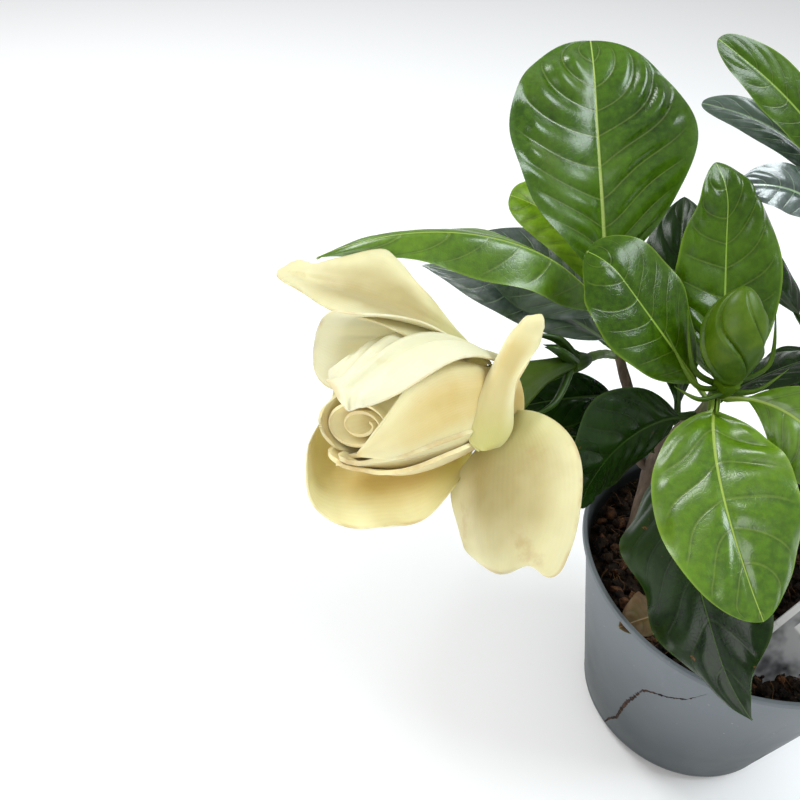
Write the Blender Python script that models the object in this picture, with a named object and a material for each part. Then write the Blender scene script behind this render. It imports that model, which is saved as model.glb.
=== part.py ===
"""Potted gardenia: a small shrub with one open double flower and one bud, in a thin nursery pot.

Z is up and the middle of the pot's flat underside is the origin. The open flower points to -X, the plant's
front is -Y. Lengths in the tables are millimetres and angles are degrees.
"""

import math

import bmesh
import bpy
from mathutils import Vector

MM = 0.001
GAP = 0.3  # air left between neighbours, mm
SHARP_ANGLE = 35.0

# Pot, mm
POT_HEIGHT = 105.0
RIM_RADIUS = 65.5
BASE_RADIUS = 45.0
WALL = 1.1
LIP_WIDTH = 1.2
LIP_HEIGHT = 5.0
FLOOR_THICKNESS = 1.4
CORNER_RADIUS = 7.0
CORNER_STEPS = 3
LIP_STEP = 0.8
POT_SEGMENTS = 40
HOLE_COUNT = 6
HOLE_RADIUS = 3.5
HOLE_RING_RADIUS = 30.0
HOLE_SIDES = 10

# Soil, mm
SOIL_TOP = 92.0
SOIL_RINGS = (0.0, 12.0, 24.0, 36.0, 48.0)
SOIL_LUMP = 1.0
SOIL_LUMP_PITCH = 5.0
SOIL_EVEN_RIM = 49.0  # beyond this radius the top is level

# Leaves, mm
LEAF_THICKNESS = 0.8
STALK_LENGTH = 5.0
STALK_HALF_WIDTH = 0.8
LEAF_STATIONS = 8
LEAF_STRIPS = 4
SPINE_STEPS = 4  # per station, for the curve of the midrib

# Petals, mm
PETAL_THICKNESS = 0.7
PETAL_STATIONS = 8
PETAL_STRIPS = 6
PETAL_NECK = 0.5  # how much a wrapped petal narrows at its foot
PETAL_TIP = 0.06  # width left at its tip

STEM_SIDES = 10
TUBE_SIDES = 12
BUD_SIDES = 14
ROUTE_STEPS = 3
SEAM_SIDE = (0.0, 1.0, 0.3)

# Open flower: the line through its throat, mm and degrees
THROAT = (-117.0, -17.5, 191.3)
FLOWER_HEADING = -154.0
FLOWER_RISE = 5.0
THROAT_RADIUS = 12.0
BELLY_RADIUS = 17.0
MOUTH_RADIUS = 5.5
BELLY_AT = 28.0
MOUTH_AT = 54.0
SCROLL_TURNS = 2.0
SCROLL_START = 14.0
SCROLL_LENGTH = 30.0
SCROLL_INNER = 1.8
SCROLL_OUTER = 7.5
SCROLL_SWELL = 0.25
SCROLL_STATIONS = 4
SCROLL_STRIPS = 18

# Calyx under the flower, its tube and the bud, mm
TUBE = ((-86, 9, 187, 2.2), (-98, -1, 190, 4.2), (-111, -12.5, 191, 8.5))
LOBE_TAPER = 0.7
FLOWER_CALYX = ((-79.6, 14.9, 184.9, 1.8), (-82, 12.6, 185.6, 2.8), (-85.4, 9.6, 186.8, 3.0))
FLOWER_LOBES = (((-92, 10, 196), (-103, 6.5, 200)), ((-93, 1, 198), (-98, 0, 200)),
                ((-86, 16, 191), (-89, 19, 196)), ((-92, -6, 182), (-101, -12, 180)),
                ((-94, 8, 180), (-103, 6, 176)))
BUD_CALYX = ((-34.8, 5.4, 182.6, 2.4), (-34.2, 5.2, 185, 3.2), (-33.8, 5, 187.4, 3.4))
BUD_LOBES = (((-46, 7, 191), (-51, 15, 208)), ((-46, 2, 188), (-58, 9, 203)),
             ((-20, 10, 192), (-22, 16, 209)), ((-44, -2, 184.5), (-52, 2, 186)),
             ((-24, 3, 186), (-14, 8, 192)))
BUD_FOOT = (-33.7, 5.1, 188.9)
BUD_TIP = (-36.0, 13.0, 221.0)
BUD_RADIUS = 10.3
BUD_RINGS = 9
BUD_TIP_RADIUS = 0.5
# The bud follows a stretch of a half wave: where it starts, how much of it, how low its belly, how full
BUD_FIRST = 0.08
BUD_SPAN = 0.9
BUD_LEAN = 0.85
BUD_FULLNESS = 0.8

# Plant label, mm: a slip of plastic stuck slantwise into the soil
LABEL_CORNER = (-24.0, -49.0, 92.6)
LABEL_FOOT = 38.0
LABEL_LONG = 58.0
LABEL_THICK = 0.8
LABEL_ALONG_SOIL = (1.0, 0.05, 0.0)
LABEL_LEAN = (-0.05, 0.5, 0.86)


LEAVES = {
    # At the top of the front shoot, round the bud
    "leaf_left": dict(at=(-38.6, 7, 180), heading=162, rise=45, droop=4, swing=-8, long=65, wide=37, roll=-30,
                      widest=0.55, base=0.87, tip=0.6, cup=-14),
    "leaf_behind_bud": dict(at=(-33, 10.9, 178), heading=99, rise=40, droop=-38, swing=-10, long=79, wide=34,
                            roll=-6, widest=0.45, base=0.65, tip=0.9, cup=-8),
    "leaf_front": dict(at=(-36.5, 2.2, 179.5), heading=-108, rise=-2, droop=42, swing=52, long=76, wide=43,
                       roll=21, widest=0.43, base=0.64, tip=0.85, cup=-8),
    "leaf_right": dict(at=(-30.8, 4.3, 180.7), heading=-38, rise=36, droop=110, swing=-13, long=54, wide=29,
                       roll=40, widest=0.55, base=1.2, tip=0.65, cup=-8),
    "leaf_right_grey": dict(at=(-33, 11.6, 171), heading=20, rise=38, droop=45, long=56, wide=23, roll=-20,
                            cup=-8),
    # Lower on the front shoot
    "leaf_over_rim": dict(at=(-39.5, 11.6, 149), heading=-98, rise=-7, droop=36, swing=38, long=98, wide=56,
                          roll=58, widest=0.32, base=0.7, tip=1.1, cup=-10),
    "leaf_low_left": dict(at=(-39.6, 8.6, 168), heading=-165, rise=3, droop=40, swing=50, long=57, wide=42,
                          roll=-77, widest=0.52, base=0.95, tip=0.5, cup=-12),
    # On the left shoot
    "leaf_round": dict(at=(-69.8, 43.4, 191.5), heading=122, rise=70, droop=28, swing=-28, long=91, wide=69,
                       roll=-3, widest=0.59, base=1.25, tip=0.6, cup=14),
    "leaf_arching": dict(at=(-70.8, 40.5, 187), heading=-160, rise=60, droop=92, swing=-24, long=107, wide=30,
                         roll=-8, widest=0.3, base=0.6, tip=1.0, fold=-35),
    "leaf_slate": dict(at=(-67, 42.6, 180.4), heading=147, rise=17, droop=25, long=65, wide=29, roll=-27,
                       widest=0.51, base=1.0, tip=0.9, cup=6),
    "leaf_slate_back": dict(at=(-63, 40.6, 172), heading=148, rise=16, droop=30, swing=8, long=86, wide=24,
                            roll=-30, widest=0.45, base=0.8, tip=0.9),
    "leaf_pale": dict(at=(-67.5, 45, 186), heading=151, rise=72, droop=70, swing=8, long=60, wide=20,
                      roll=-50, widest=0.65, base=0.7, tip=0.4),
    "leaf_dark_back": dict(at=(-38.4, 18.4, 156), heading=100, rise=52, droop=25, swing=-20, long=90, wide=30,
                           roll=-22, widest=0.6, base=1.2, tip=0.8),
    "leaf_under_flower": dict(at=(-57, 32, 155), heading=-166, rise=10, droop=25, long=50, wide=22, roll=-50),
    "leaf_under_flower_low": dict(at=(-44.4, 18.6, 140), heading=176, rise=15, droop=30, long=46, wide=20,
                                  roll=-40),
    # On the back shoot
    "leaf_far_bright": dict(at=(10.2, 67, 233), heading=173, rise=47, droop=22, long=72, wide=19, roll=-50,
                            widest=0.5, base=0.7, tip=0.5),
    "leaf_far_grey": dict(at=(10, 69.4, 226), heading=169, rise=50, droop=50, long=63, wide=19, roll=-45,
                          widest=0.47, base=0.7, tip=0.5),
    "leaf_far_brown": dict(at=(10.4, 62.5, 216), heading=-167, rise=52, droop=58, long=51, wide=18, roll=-45,
                           widest=0.5, base=0.7, tip=0.7),
    "leaf_far_new": dict(at=(13, 67.2, 234.5), heading=155, rise=78, droop=10, long=52, wide=8, roll=-20,
                         widest=0.4, base=0.7, tip=1.0),
    "leaf_back_tall": dict(at=(15.6, 70.4, 232), heading=35, rise=66, droop=40, long=74, wide=33, roll=0),
    "leaf_back_out": dict(at=(14, 66, 222), heading=80, rise=35, droop=50, long=76, wide=36, roll=0),
    "leaf_back_right": dict(at=(16.2, 62, 215), heading=-20, rise=30, droop=45, long=70, wide=32, roll=0),
    "leaf_back_low": dict(at=(10.2, 51, 181), heading=120, rise=30, droop=40, long=68, wide=32, roll=10),
    "leaf_back_shade": dict(at=(10.8, 47.2, 176), heading=-112, rise=4, droop=16, long=46, wide=28, roll=-10),
    "leaf_back_side": dict(at=(16.4, 47, 172), heading=30, rise=20, droop=40, long=74, wide=34, roll=0),
    # On the right shoot
    "leaf_side_tall": dict(at=(44, 3, 178), heading=50, rise=74, droop=30, long=66, wide=33, roll=0),
    "leaf_side_out": dict(at=(44.4, -2, 177), heading=-15, rise=38, droop=60, long=76, wide=38, roll=0),
    "leaf_side_front": dict(at=(40.5, -3.6, 174), heading=-80, rise=25, droop=55, long=72, wide=36, roll=0),
    "leaf_side_inner": dict(at=(38, 1.8, 176), heading=165, rise=62, droop=40, long=50, wide=26, roll=0),
    "leaf_side_low": dict(at=(40.6, -4, 150), heading=-45, rise=8, droop=40, long=78, wide=40, roll=0),
    "leaf_side_back": dict(at=(40, 4.4, 153), heading=65, rise=15, droop=40, long=66, wide=34, roll=0),
    # Curled at the rim
    "leaf_curled": dict(at=(-31, -24.5, 98), heading=-158, rise=12, droop=20, long=22, wide=14, roll=30,
                        widest=0.45, base=0.7, tip=0.8),
}

# Old leaves have gone darker; the newest are pale; one at the rim is dying
OLD_LEAVES = (
    "leaf_over_rim", "leaf_low_left", "leaf_slate", "leaf_slate_back", "leaf_dark_back", "leaf_under_flower",
    "leaf_under_flower_low", "leaf_far_grey", "leaf_far_brown", "leaf_back_shade", "leaf_right_grey",
    "leaf_back_low",
)
NEW_LEAVES = ("leaf_pale", "leaf_far_new", "leaf_side_inner")
DYING_LEAVES = ("leaf_curled",)

# Outer petals: blades that start round the throat
PETALS = {
    "petal_top_left": dict(at=(-118.4, -7.6, 200), heading=172, rise=39, droop=57, swing=-24, long=76,
                           wide=38, roll=0, widest=0.62, base=0.8, tip=0.7, cup=10),
    "petal_right_down": dict(at=(-108.6, -21.5, 187), heading=-82, rise=-6, droop=42, swing=-22, long=52,
                             wide=43, roll=46, widest=0.6, base=0.8, tip=0.35, cup=-15),
    "petal_left_down": dict(at=(-120.4, -21.4, 171.8), heading=-166, rise=-4, droop=-12, long=56, wide=56,
                            roll=-22, widest=0.5, base=0.7, tip=0.42, cup=20),
    "petal_right_fold": dict(at=(-115.5, -38.6, 192), heading=85, rise=56, droop=32, swing=-38, long=46,
                             wide=11, roll=3, widest=0.5, base=0.4, tip=0.4, cup=-30),
    "petal_under": dict(at=(-113, -12, 179), heading=100, rise=-30, droop=-20, long=38, wide=32, roll=0,
                        widest=0.58, base=0.7, tip=0.4, cup=10),
}

# Inner petals, wrapped round the flower's own line; angles run from its top towards the front
WRAPPED_PETALS = {
    "petal_far_left": dict(middle=-73, turn=0, spread=31, widest=0.62, long=50, layer=1.6, swell=4,
                           opening=8),
    "petal_inner_top": dict(middle=-60, turn=42, spread=80, widest=0.62, long=52, swell=0.8),
    "petal_inner_front": dict(middle=36, turn=32, spread=50, widest=0.5, long=43, layer=-1.9),
    "petal_inner_low": dict(middle=130, turn=0, spread=46, widest=0.5, long=46, layer=0.2),
    "petal_inner_back": dict(middle=-140, turn=10, spread=60, widest=0.55, long=44, layer=-2.0),
    "petal_rim_low": dict(middle=165, turn=0, spread=58, widest=0.55, long=49, layer=1.8, flare=3.5),
}

# name: ((x, y, z), radius) along each stem
STEMS = {
    "stem_front": (((-40, 14, 92.6), 3.6), ((-40.5, 18, 110), 3.2), ((-41, 21, 131), 2.9),
                   ((-40, 15, 152), 2.3), ((-36, 9, 170), 2.2), ((-35, 6, 181), 2.4)),
    "stem_left": (((-46, 24, 131), 2.1), ((-52, 31, 150), 2.1), ((-60, 37, 168), 1.9), ((-68, 42, 188), 1.6)),
    "stem_back": (((12, 20, 92.6), 3.3), ((13, 32, 130), 2.8), ((13.5, 47, 170), 2.3), ((13.5, 58, 205), 2.0),
                  ((13, 66, 231), 1.7)),
    "stem_right": (((31, 6, 92.6), 3.1), ((35, 2, 120), 2.7), ((39, 0, 150), 2.3), ((42, 0, 177), 1.8)),
    "flower_stalk": (((-64, 36, 171.5), 1.5), ((-69, 28, 178), 1.6), ((-75, 20, 183), 1.6),
                     ((-79, 15.5, 184.7), 1.7)),
}

MATERIALS = {
    # name: (colour, roughness)
    "pot_plastic": ((0.16, 0.18, 0.19), 0.45),
    "potting_soil": ((0.05, 0.03, 0.02), 0.95),
    "woody_stem": ((0.3, 0.2, 0.13), 0.85),
    "green_stem": ((0.2, 0.32, 0.08), 0.5),
    "leaf_green": ((0.08, 0.2, 0.03), 0.3),
    "leaf_dark": ((0.03, 0.08, 0.03), 0.3),
    "leaf_young": ((0.25, 0.42, 0.08), 0.35),
    "leaf_dry": ((0.25, 0.16, 0.05), 0.7),
    "petal_cream": ((0.85, 0.8, 0.58), 0.5),
    "petal_ivory": ((0.88, 0.85, 0.72), 0.5),
    "flower_green": ((0.3, 0.42, 0.12), 0.45),
    "bud_green": ((0.35, 0.5, 0.12), 0.4),
    "label_plastic": ((0.8, 0.8, 0.78), 0.4),
}


def clear_scene():
    for thing in list(bpy.data.objects):
        bpy.data.objects.remove(thing, do_unlink=True)


def make_material(name):
    colour, roughness = MATERIALS[name]
    material = bpy.data.materials.get(name) or bpy.data.materials.new(name)
    material.use_nodes = True
    shader = material.node_tree.nodes["Principled BSDF"]
    shader.inputs["Base Color"].default_value = (*colour, 1.0)
    shader.inputs["Roughness"].default_value = roughness
    return material


def add_object(name, shape, material):
    """Turn a bmesh in millimetres into a named object in metres."""
    bmesh.ops.scale(shape, vec=(MM, MM, MM), verts=shape.verts)
    mesh = bpy.data.meshes.new(name)
    shape.to_mesh(mesh)
    shape.free()
    mesh.shade_smooth()
    mesh.set_sharp_from_angle(angle=math.radians(SHARP_ANGLE))
    thing = bpy.data.objects.new(name, mesh)
    bpy.context.scene.collection.objects.link(thing)
    thing.data.materials.append(make_material(material))
    return thing


def thicken(thing, thickness):
    wall = thing.modifiers.new("thickness", "SOLIDIFY")
    wall.thickness = thickness * MM
    wall.offset = 0.0
    return thing


def blade_frame(row, share):
    """Direction of growth, side and upper face of a blade at a share of its length."""
    heading = math.radians(row["heading"] + row.get("swing", 0) * share)
    rise = math.radians(row["rise"] - row["droop"] * share)
    roll = math.radians(row.get("roll", 0))
    growth = Vector((math.cos(rise) * math.cos(heading), math.cos(rise) * math.sin(heading), math.sin(rise)))
    side = Vector((-math.sin(heading), math.cos(heading), 0))
    face = growth.cross(side)
    rolled_side = side * math.cos(roll) + face * math.sin(roll)
    rolled_face = face * math.cos(roll) - side * math.sin(roll)
    return growth, rolled_side, rolled_face


def blade_half_width(row, share, stalk):
    """Half the width of a blade, widest at its own share and closing in to both ends."""
    share = max((share - stalk) / (1 - stalk), 0)
    widest = row.get("widest", 0.5)
    if share < widest:
        away, power = 1 - share / widest, row.get("base", 0.75)
    else:
        away, power = (share - widest) / (1 - widest), row.get("tip", 0.8)
    half = row["wide"] / 2 * max(1 - away * away, 0) ** power
    return max(half, STALK_HALF_WIDTH)


def blade(name, row, thickness, stations, strips, stalk_length, material):
    """A leaf or a petal: a grid laid along a curved midrib, cupped or folded across it, then thickened."""
    shape = bmesh.new()
    bmesh.ops.create_grid(shape, x_segments=stations, y_segments=strips, size=0.5)
    shape.verts.ensure_lookup_table()
    steps = stations * SPINE_STEPS
    spine = [Vector(row["at"])]
    for step in range(steps):
        growth, _, _ = blade_frame(row, (step + 0.5) / steps)
        spine.append(spine[-1] + growth * row["long"] / steps)
    cup = math.radians(row.get("cup", 0)) or 0.001
    fold = math.radians(row.get("fold", 0))
    stalk = stalk_length / row["long"]
    for vert in shape.verts:
        share = vert.co.x + 0.5
        across = vert.co.y * 2
        _, side, face = blade_frame(row, share)
        half = blade_half_width(row, share, stalk)
        turn = across * cup
        outward = half * math.sin(turn) / cup
        lift = half * (1 - math.cos(turn)) / cup + abs(outward) * math.sin(fold)
        vert.co = spine[round(share * steps)] + side * outward * math.cos(fold) + face * lift
    return thicken(add_object(name, shape, material), thickness)


def leaf_material(name):
    if name in OLD_LEAVES:
        return "leaf_dark"
    if name in NEW_LEAVES:
        return "leaf_young"
    if name in DYING_LEAVES:
        return "leaf_dry"
    return "leaf_green"


def spun_shape(profile, segments):
    """Turn a closed profile of (radius, height) points about the Z axis."""
    shape = bmesh.new()
    verts = [shape.verts.new((radius, 0, height)) for radius, height in profile]
    edges = [shape.edges.new((verts[i], verts[i - 1])) for i in range(len(verts))]
    bmesh.ops.spin(shape, geom=verts + edges, cent=(0, 0, 0), axis=(0, 0, 1), angle=math.tau,
                   steps=segments, use_merge=True, use_duplicate=False)
    bmesh.ops.remove_doubles(shape, verts=shape.verts, dist=0.001)
    bmesh.ops.recalc_face_normals(shape, faces=shape.faces)
    return shape


def wall_radius(height):
    """Outside radius of the pot's side wall at a height."""
    share = (height - CORNER_RADIUS) / (POT_HEIGHT - CORNER_RADIUS)
    return BASE_RADIUS + (RIM_RADIUS - LIP_WIDTH - BASE_RADIUS) * share


def corner(radius, lift, steps):
    """Quarter circle from the floor up to the side wall."""
    centre = BASE_RADIUS - CORNER_RADIUS
    turns = [math.radians(90 * step / steps) for step in range(steps + 1)]
    middle = CORNER_RADIUS + lift
    return [(centre + radius * math.sin(turn), middle - radius * math.cos(turn)) for turn in turns]


def build_pot():
    lip_low = POT_HEIGHT - LIP_HEIGHT
    outside = corner(CORNER_RADIUS, 0, CORNER_STEPS)
    outside += [(wall_radius(lip_low), lip_low), (RIM_RADIUS, lip_low + LIP_STEP), (RIM_RADIUS, POT_HEIGHT)]
    inside = corner(CORNER_RADIUS - WALL, FLOOR_THICKNESS - WALL, CORNER_STEPS)
    inside += [(wall_radius(lip_low) - WALL, lip_low), (RIM_RADIUS - LIP_WIDTH - WALL, POT_HEIGHT)]
    profile = [(0, 0)] + outside + inside[::-1] + [(0, FLOOR_THICKNESS)]
    pot = add_object("pot", spun_shape(profile, POT_SEGMENTS), "pot_plastic")
    for number in range(HOLE_COUNT):
        turn = math.tau * number / HOLE_COUNT
        cutter_shape = bmesh.new()
        bmesh.ops.create_cone(cutter_shape, cap_ends=True, segments=HOLE_SIDES, radius1=HOLE_RADIUS,
                              radius2=HOLE_RADIUS, depth=3 * FLOOR_THICKNESS)
        place = Vector((HOLE_RING_RADIUS * math.cos(turn), HOLE_RING_RADIUS * math.sin(turn), 0))
        bmesh.ops.translate(cutter_shape, vec=place, verts=cutter_shape.verts)
        cutter = add_object(f"hole_cutter_{number + 1}", cutter_shape, "pot_plastic")
        cutter.hide_render = True
        cutter.display_type = "WIRE"
        hole = pot.modifiers.new("drain_hole", "BOOLEAN")
        hole.operation = "DIFFERENCE"
        hole.object = cutter


def build_soil():
    """The potting mix fills the pot to just under the rim; its top is a little lumpy."""
    floor = FLOOR_THICKNESS + GAP
    low = corner(CORNER_RADIUS - WALL - GAP, FLOOR_THICKNESS - WALL + GAP, CORNER_STEPS)
    side = (wall_radius(SOIL_TOP) - WALL - GAP, SOIL_TOP)
    top = [(radius, SOIL_TOP) for radius in reversed(SOIL_RINGS)]
    shape = spun_shape([(0, floor)] + low + [side] + top, POT_SEGMENTS)
    for vert in shape.verts:
        if vert.co.z > SOIL_TOP - SOIL_LUMP and vert.co.xy.length < SOIL_EVEN_RIM:
            wave = math.sin(vert.co.x / SOIL_LUMP_PITCH) * math.cos(vert.co.y / SOIL_LUMP_PITCH)
            vert.co.z += SOIL_LUMP * (wave - 1)
    add_object("soil", shape, "potting_soil")


def smooth_route(points, steps):
    """Points on a smooth curve through the given (x, y, z, radius) points."""
    route = []
    for index in range(len(points) - 1):
        before = points[max(index - 1, 0)]
        start, end = points[index], points[index + 1]
        after = points[min(index + 2, len(points) - 1)]
        for step in range(steps):
            share = step / steps
            route.append([0.5 * (2 * b + (c - a) * share + (2 * a - 5 * b + 4 * c - d) * share ** 2
                                 + (3 * b - a - 3 * c + d) * share ** 3)
                          for a, b, c, d in zip(before, start, end, after)])
    return route + [list(points[-1])]


def tube_shape(route, sides):
    """A round bar along a route of (x, y, z, radius) points, with flat ends."""
    shape = bmesh.new()
    rings = []
    for index, point in enumerate(route):
        before = Vector(route[max(index - 1, 0)][:3])
        after = Vector(route[min(index + 1, len(route) - 1)][:3])
        along = (after - before).normalized()
        first = along.cross(Vector(SEAM_SIDE)).normalized()
        second = along.cross(first)
        ring = []
        for number in range(sides):
            turn = math.tau * number / sides
            spoke = first * math.cos(turn) + second * math.sin(turn)
            ring.append(shape.verts.new(Vector(point[:3]) + spoke * point[3]))
        rings.append(ring)
    for low, high in zip(rings, rings[1:]):
        for number in range(sides):
            follow = (number + 1) % sides
            shape.faces.new((low[number], low[follow], high[follow], high[number]))
    shape.faces.new(rings[0][::-1])
    shape.faces.new(rings[-1])
    bmesh.ops.recalc_face_normals(shape, faces=shape.faces)
    return shape


def build_stem(name, points, material):
    route = smooth_route([(*place, radius) for place, radius in points], ROUTE_STEPS)
    add_object(name, tube_shape(route, STEM_SIDES), material)


def grow_lobe(shape, face, points):
    """Draw one face out through some points, tapering, as a calyx lobe."""
    for point in points:
        face = bmesh.ops.extrude_discrete_faces(shape, faces=[face])["faces"][0]
        bmesh.ops.translate(shape, vec=Vector(point) - face.calc_center_median(), verts=face.verts)
        centre = face.calc_center_median()
        for vert in face.verts:
            vert.co = centre + (vert.co - centre) * LOBE_TAPER


def build_calyx(name, route, lobes, material):
    """A small green cup with narrow lobes drawn out of its side."""
    shape = tube_shape(route, STEM_SIDES)
    shape.faces.ensure_lookup_table()
    sides = [face for face in shape.faces if len(face.verts) == 4][:STEM_SIDES]
    for points in lobes:
        face = min(sides, key=lambda side: (side.calc_center_median() - Vector(points[0])).length)
        sides.remove(face)
        grow_lobe(shape, face, points)
    add_object(name, shape, material)


def flower_frame():
    heading = math.radians(FLOWER_HEADING)
    rise = math.radians(FLOWER_RISE)
    along = Vector((math.cos(rise) * math.cos(heading), math.cos(rise) * math.sin(heading), math.sin(rise)))
    top = (Vector((0, 0, 1)) - along * along.z).normalized()
    front = top.cross(along)
    return along, top, front


def cone_radius(reach):
    """Radius of the closed heart of the flower at a distance from the throat."""
    if reach < BELLY_AT:
        return THROAT_RADIUS + (BELLY_RADIUS - THROAT_RADIUS) * math.sin(math.pi / 2 * reach / BELLY_AT)
    closing = math.cos(math.pi / 2 * (reach - BELLY_AT) / (MOUTH_AT - BELLY_AT))
    return MOUTH_RADIUS + (BELLY_RADIUS - MOUTH_RADIUS) * closing


def on_cone(reach, radius, angle):
    along, top, front = flower_frame()
    spoke = top * math.cos(math.radians(angle)) + front * math.sin(math.radians(angle))
    return Vector(THROAT) + along * reach + spoke * radius


def wrapped_petal(name, row, material):
    shape = bmesh.new()
    bmesh.ops.create_grid(shape, x_segments=PETAL_STATIONS, y_segments=PETAL_STRIPS, size=0.5)
    for vert in shape.verts:
        share = vert.co.x + 0.5
        across = vert.co.y * 2
        if share < row["widest"]:
            width = 1 - PETAL_NECK * (1 - share / row["widest"]) ** 2
        else:
            width = max(1 - ((share - row["widest"]) / (1 - row["widest"])) ** 2, 0) ** 0.5
        angle = row["middle"] + row["turn"] * share + across * max(width, PETAL_TIP) * row["spread"]
        reach = share * row["long"]
        stand_off = row.get("layer", 0) + row.get("opening", 0) * share ** 3
        stand_off += row.get("swell", 0) * math.sin(math.pi * share)
        stand_off += row.get("flare", 0) * share * max(-across, 0) ** 2
        vert.co = on_cone(reach, cone_radius(reach) + stand_off, angle)
    thicken(add_object(name, shape, material), PETAL_THICKNESS)


def build_scroll():
    """The rolled middle of the flower: one petal wound round itself."""
    shape = bmesh.new()
    bmesh.ops.create_grid(shape, x_segments=SCROLL_STATIONS, y_segments=SCROLL_STRIPS, size=0.5)
    for vert in shape.verts:
        share = vert.co.x + 0.5
        wound = vert.co.y + 0.5
        reach = SCROLL_START + share * SCROLL_LENGTH
        radius = SCROLL_INNER + (SCROLL_OUTER - SCROLL_INNER) * wound
        swell = 1.0 + SCROLL_SWELL * math.sin(math.pi * share)
        vert.co = on_cone(reach, radius * swell, 360 * SCROLL_TURNS * wound)
    thicken(add_object("petal_scroll", shape, "petal_ivory"), PETAL_THICKNESS)


def build_bud():
    """A closed bud: long petals wound into a pointed egg."""
    route = []
    for ring in range(BUD_RINGS + 1):
        share = ring / BUD_RINGS
        place = Vector(BUD_FOOT).lerp(Vector(BUD_TIP), share)
        radius = BUD_RADIUS * math.sin(math.pi * (BUD_FIRST + BUD_SPAN * share) ** BUD_LEAN) ** BUD_FULLNESS
        route.append((*place, radius + BUD_TIP_RADIUS))
    add_object("bud", tube_shape(route, BUD_SIDES), "bud_green")


def build_label():
    across = Vector(LABEL_ALONG_SOIL).normalized()
    up = Vector(LABEL_LEAN).normalized()
    slant = (across + up).normalized()
    corner_left = Vector(LABEL_CORNER)
    corner_right = corner_left + across * LABEL_FOOT
    end_left = corner_left + slant * LABEL_LONG
    end_right = end_left + (across - up).normalized() * LABEL_FOOT * math.sqrt(0.5)
    shape = bmesh.new()
    corners = [shape.verts.new(place) for place in (corner_left, corner_right, end_right, end_left)]
    front = shape.faces.new(corners)
    back = bmesh.ops.extrude_face_region(shape, geom=[front])["geom"]
    moved = [item for item in back if isinstance(item, bmesh.types.BMVert)]
    bmesh.ops.translate(shape, vec=across.cross(up) * -LABEL_THICK, verts=moved)
    bmesh.ops.recalc_face_normals(shape, faces=shape.faces)
    add_object("plant_label", shape, "label_plastic")


def build():
    clear_scene()
    build_pot()
    build_soil()
    build_label()
    for name, points in STEMS.items():
        build_stem(name, points, "green_stem" if name == "flower_stalk" else "woody_stem")
    for name, row in LEAVES.items():
        blade(name, row, LEAF_THICKNESS, LEAF_STATIONS, LEAF_STRIPS, STALK_LENGTH, leaf_material(name))
    for name, row in PETALS.items():
        blade(name, row, PETAL_THICKNESS, PETAL_STATIONS, PETAL_STRIPS, 0, "petal_cream")
    for name, row in WRAPPED_PETALS.items():
        wrapped_petal(name, row, "petal_ivory")
    build_scroll()
    add_object("corolla_tube", tube_shape(smooth_route(TUBE, ROUTE_STEPS), TUBE_SIDES), "flower_green")
    build_calyx("flower_calyx", FLOWER_CALYX, FLOWER_LOBES, "flower_green")
    build_bud()
    build_calyx("bud_calyx", BUD_CALYX, BUD_LOBES, "bud_green")


build()
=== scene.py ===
"""Potted gardenia: glossy quilted leaves, an open cream flower, a bud, a nursery pot and potting mix."""
import math

import bmesh
import bpy
import numpy as np
from mathutils import Matrix, Vector, noise


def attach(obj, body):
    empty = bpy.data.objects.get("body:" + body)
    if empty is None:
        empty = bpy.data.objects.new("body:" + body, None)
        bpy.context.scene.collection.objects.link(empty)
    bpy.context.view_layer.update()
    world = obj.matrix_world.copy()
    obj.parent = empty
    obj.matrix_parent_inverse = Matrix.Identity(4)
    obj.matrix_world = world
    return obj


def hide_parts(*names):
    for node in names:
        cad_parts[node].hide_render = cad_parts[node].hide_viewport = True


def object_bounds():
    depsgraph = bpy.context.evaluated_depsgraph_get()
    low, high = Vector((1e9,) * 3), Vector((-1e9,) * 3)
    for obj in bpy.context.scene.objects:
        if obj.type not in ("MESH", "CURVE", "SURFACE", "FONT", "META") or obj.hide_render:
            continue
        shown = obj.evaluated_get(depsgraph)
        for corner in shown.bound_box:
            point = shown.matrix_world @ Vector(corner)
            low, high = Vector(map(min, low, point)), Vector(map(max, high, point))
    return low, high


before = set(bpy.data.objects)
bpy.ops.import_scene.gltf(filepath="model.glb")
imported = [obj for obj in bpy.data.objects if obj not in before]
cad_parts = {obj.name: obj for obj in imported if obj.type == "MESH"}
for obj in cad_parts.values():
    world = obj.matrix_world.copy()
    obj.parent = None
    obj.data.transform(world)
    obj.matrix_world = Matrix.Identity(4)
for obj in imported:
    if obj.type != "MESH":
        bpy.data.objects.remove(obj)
cad_low, cad_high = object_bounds()

MM = 0.001

# ---------------------------------------------------------------- shapes of the growing parts, mm and degrees

LEAF_GRID = (80, 40)
BIG_LEAF_GRID = (120, 60)
BIG_LEAF_AREA = 2500.0
LEAF_THICKNESS = 0.4
LEAF_STALK = 5.0
LEAF_FOOT = 0.8
LEAF_TIP = 0.12
INTO_STEM = 3.0
OUTER_PETAL_GRID = (64, 56)
WRAPPED_PETAL_GRID = (60, 60)
PETAL_THICKNESS = 0.55
CROWDED_ROWS = 0.95

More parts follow.
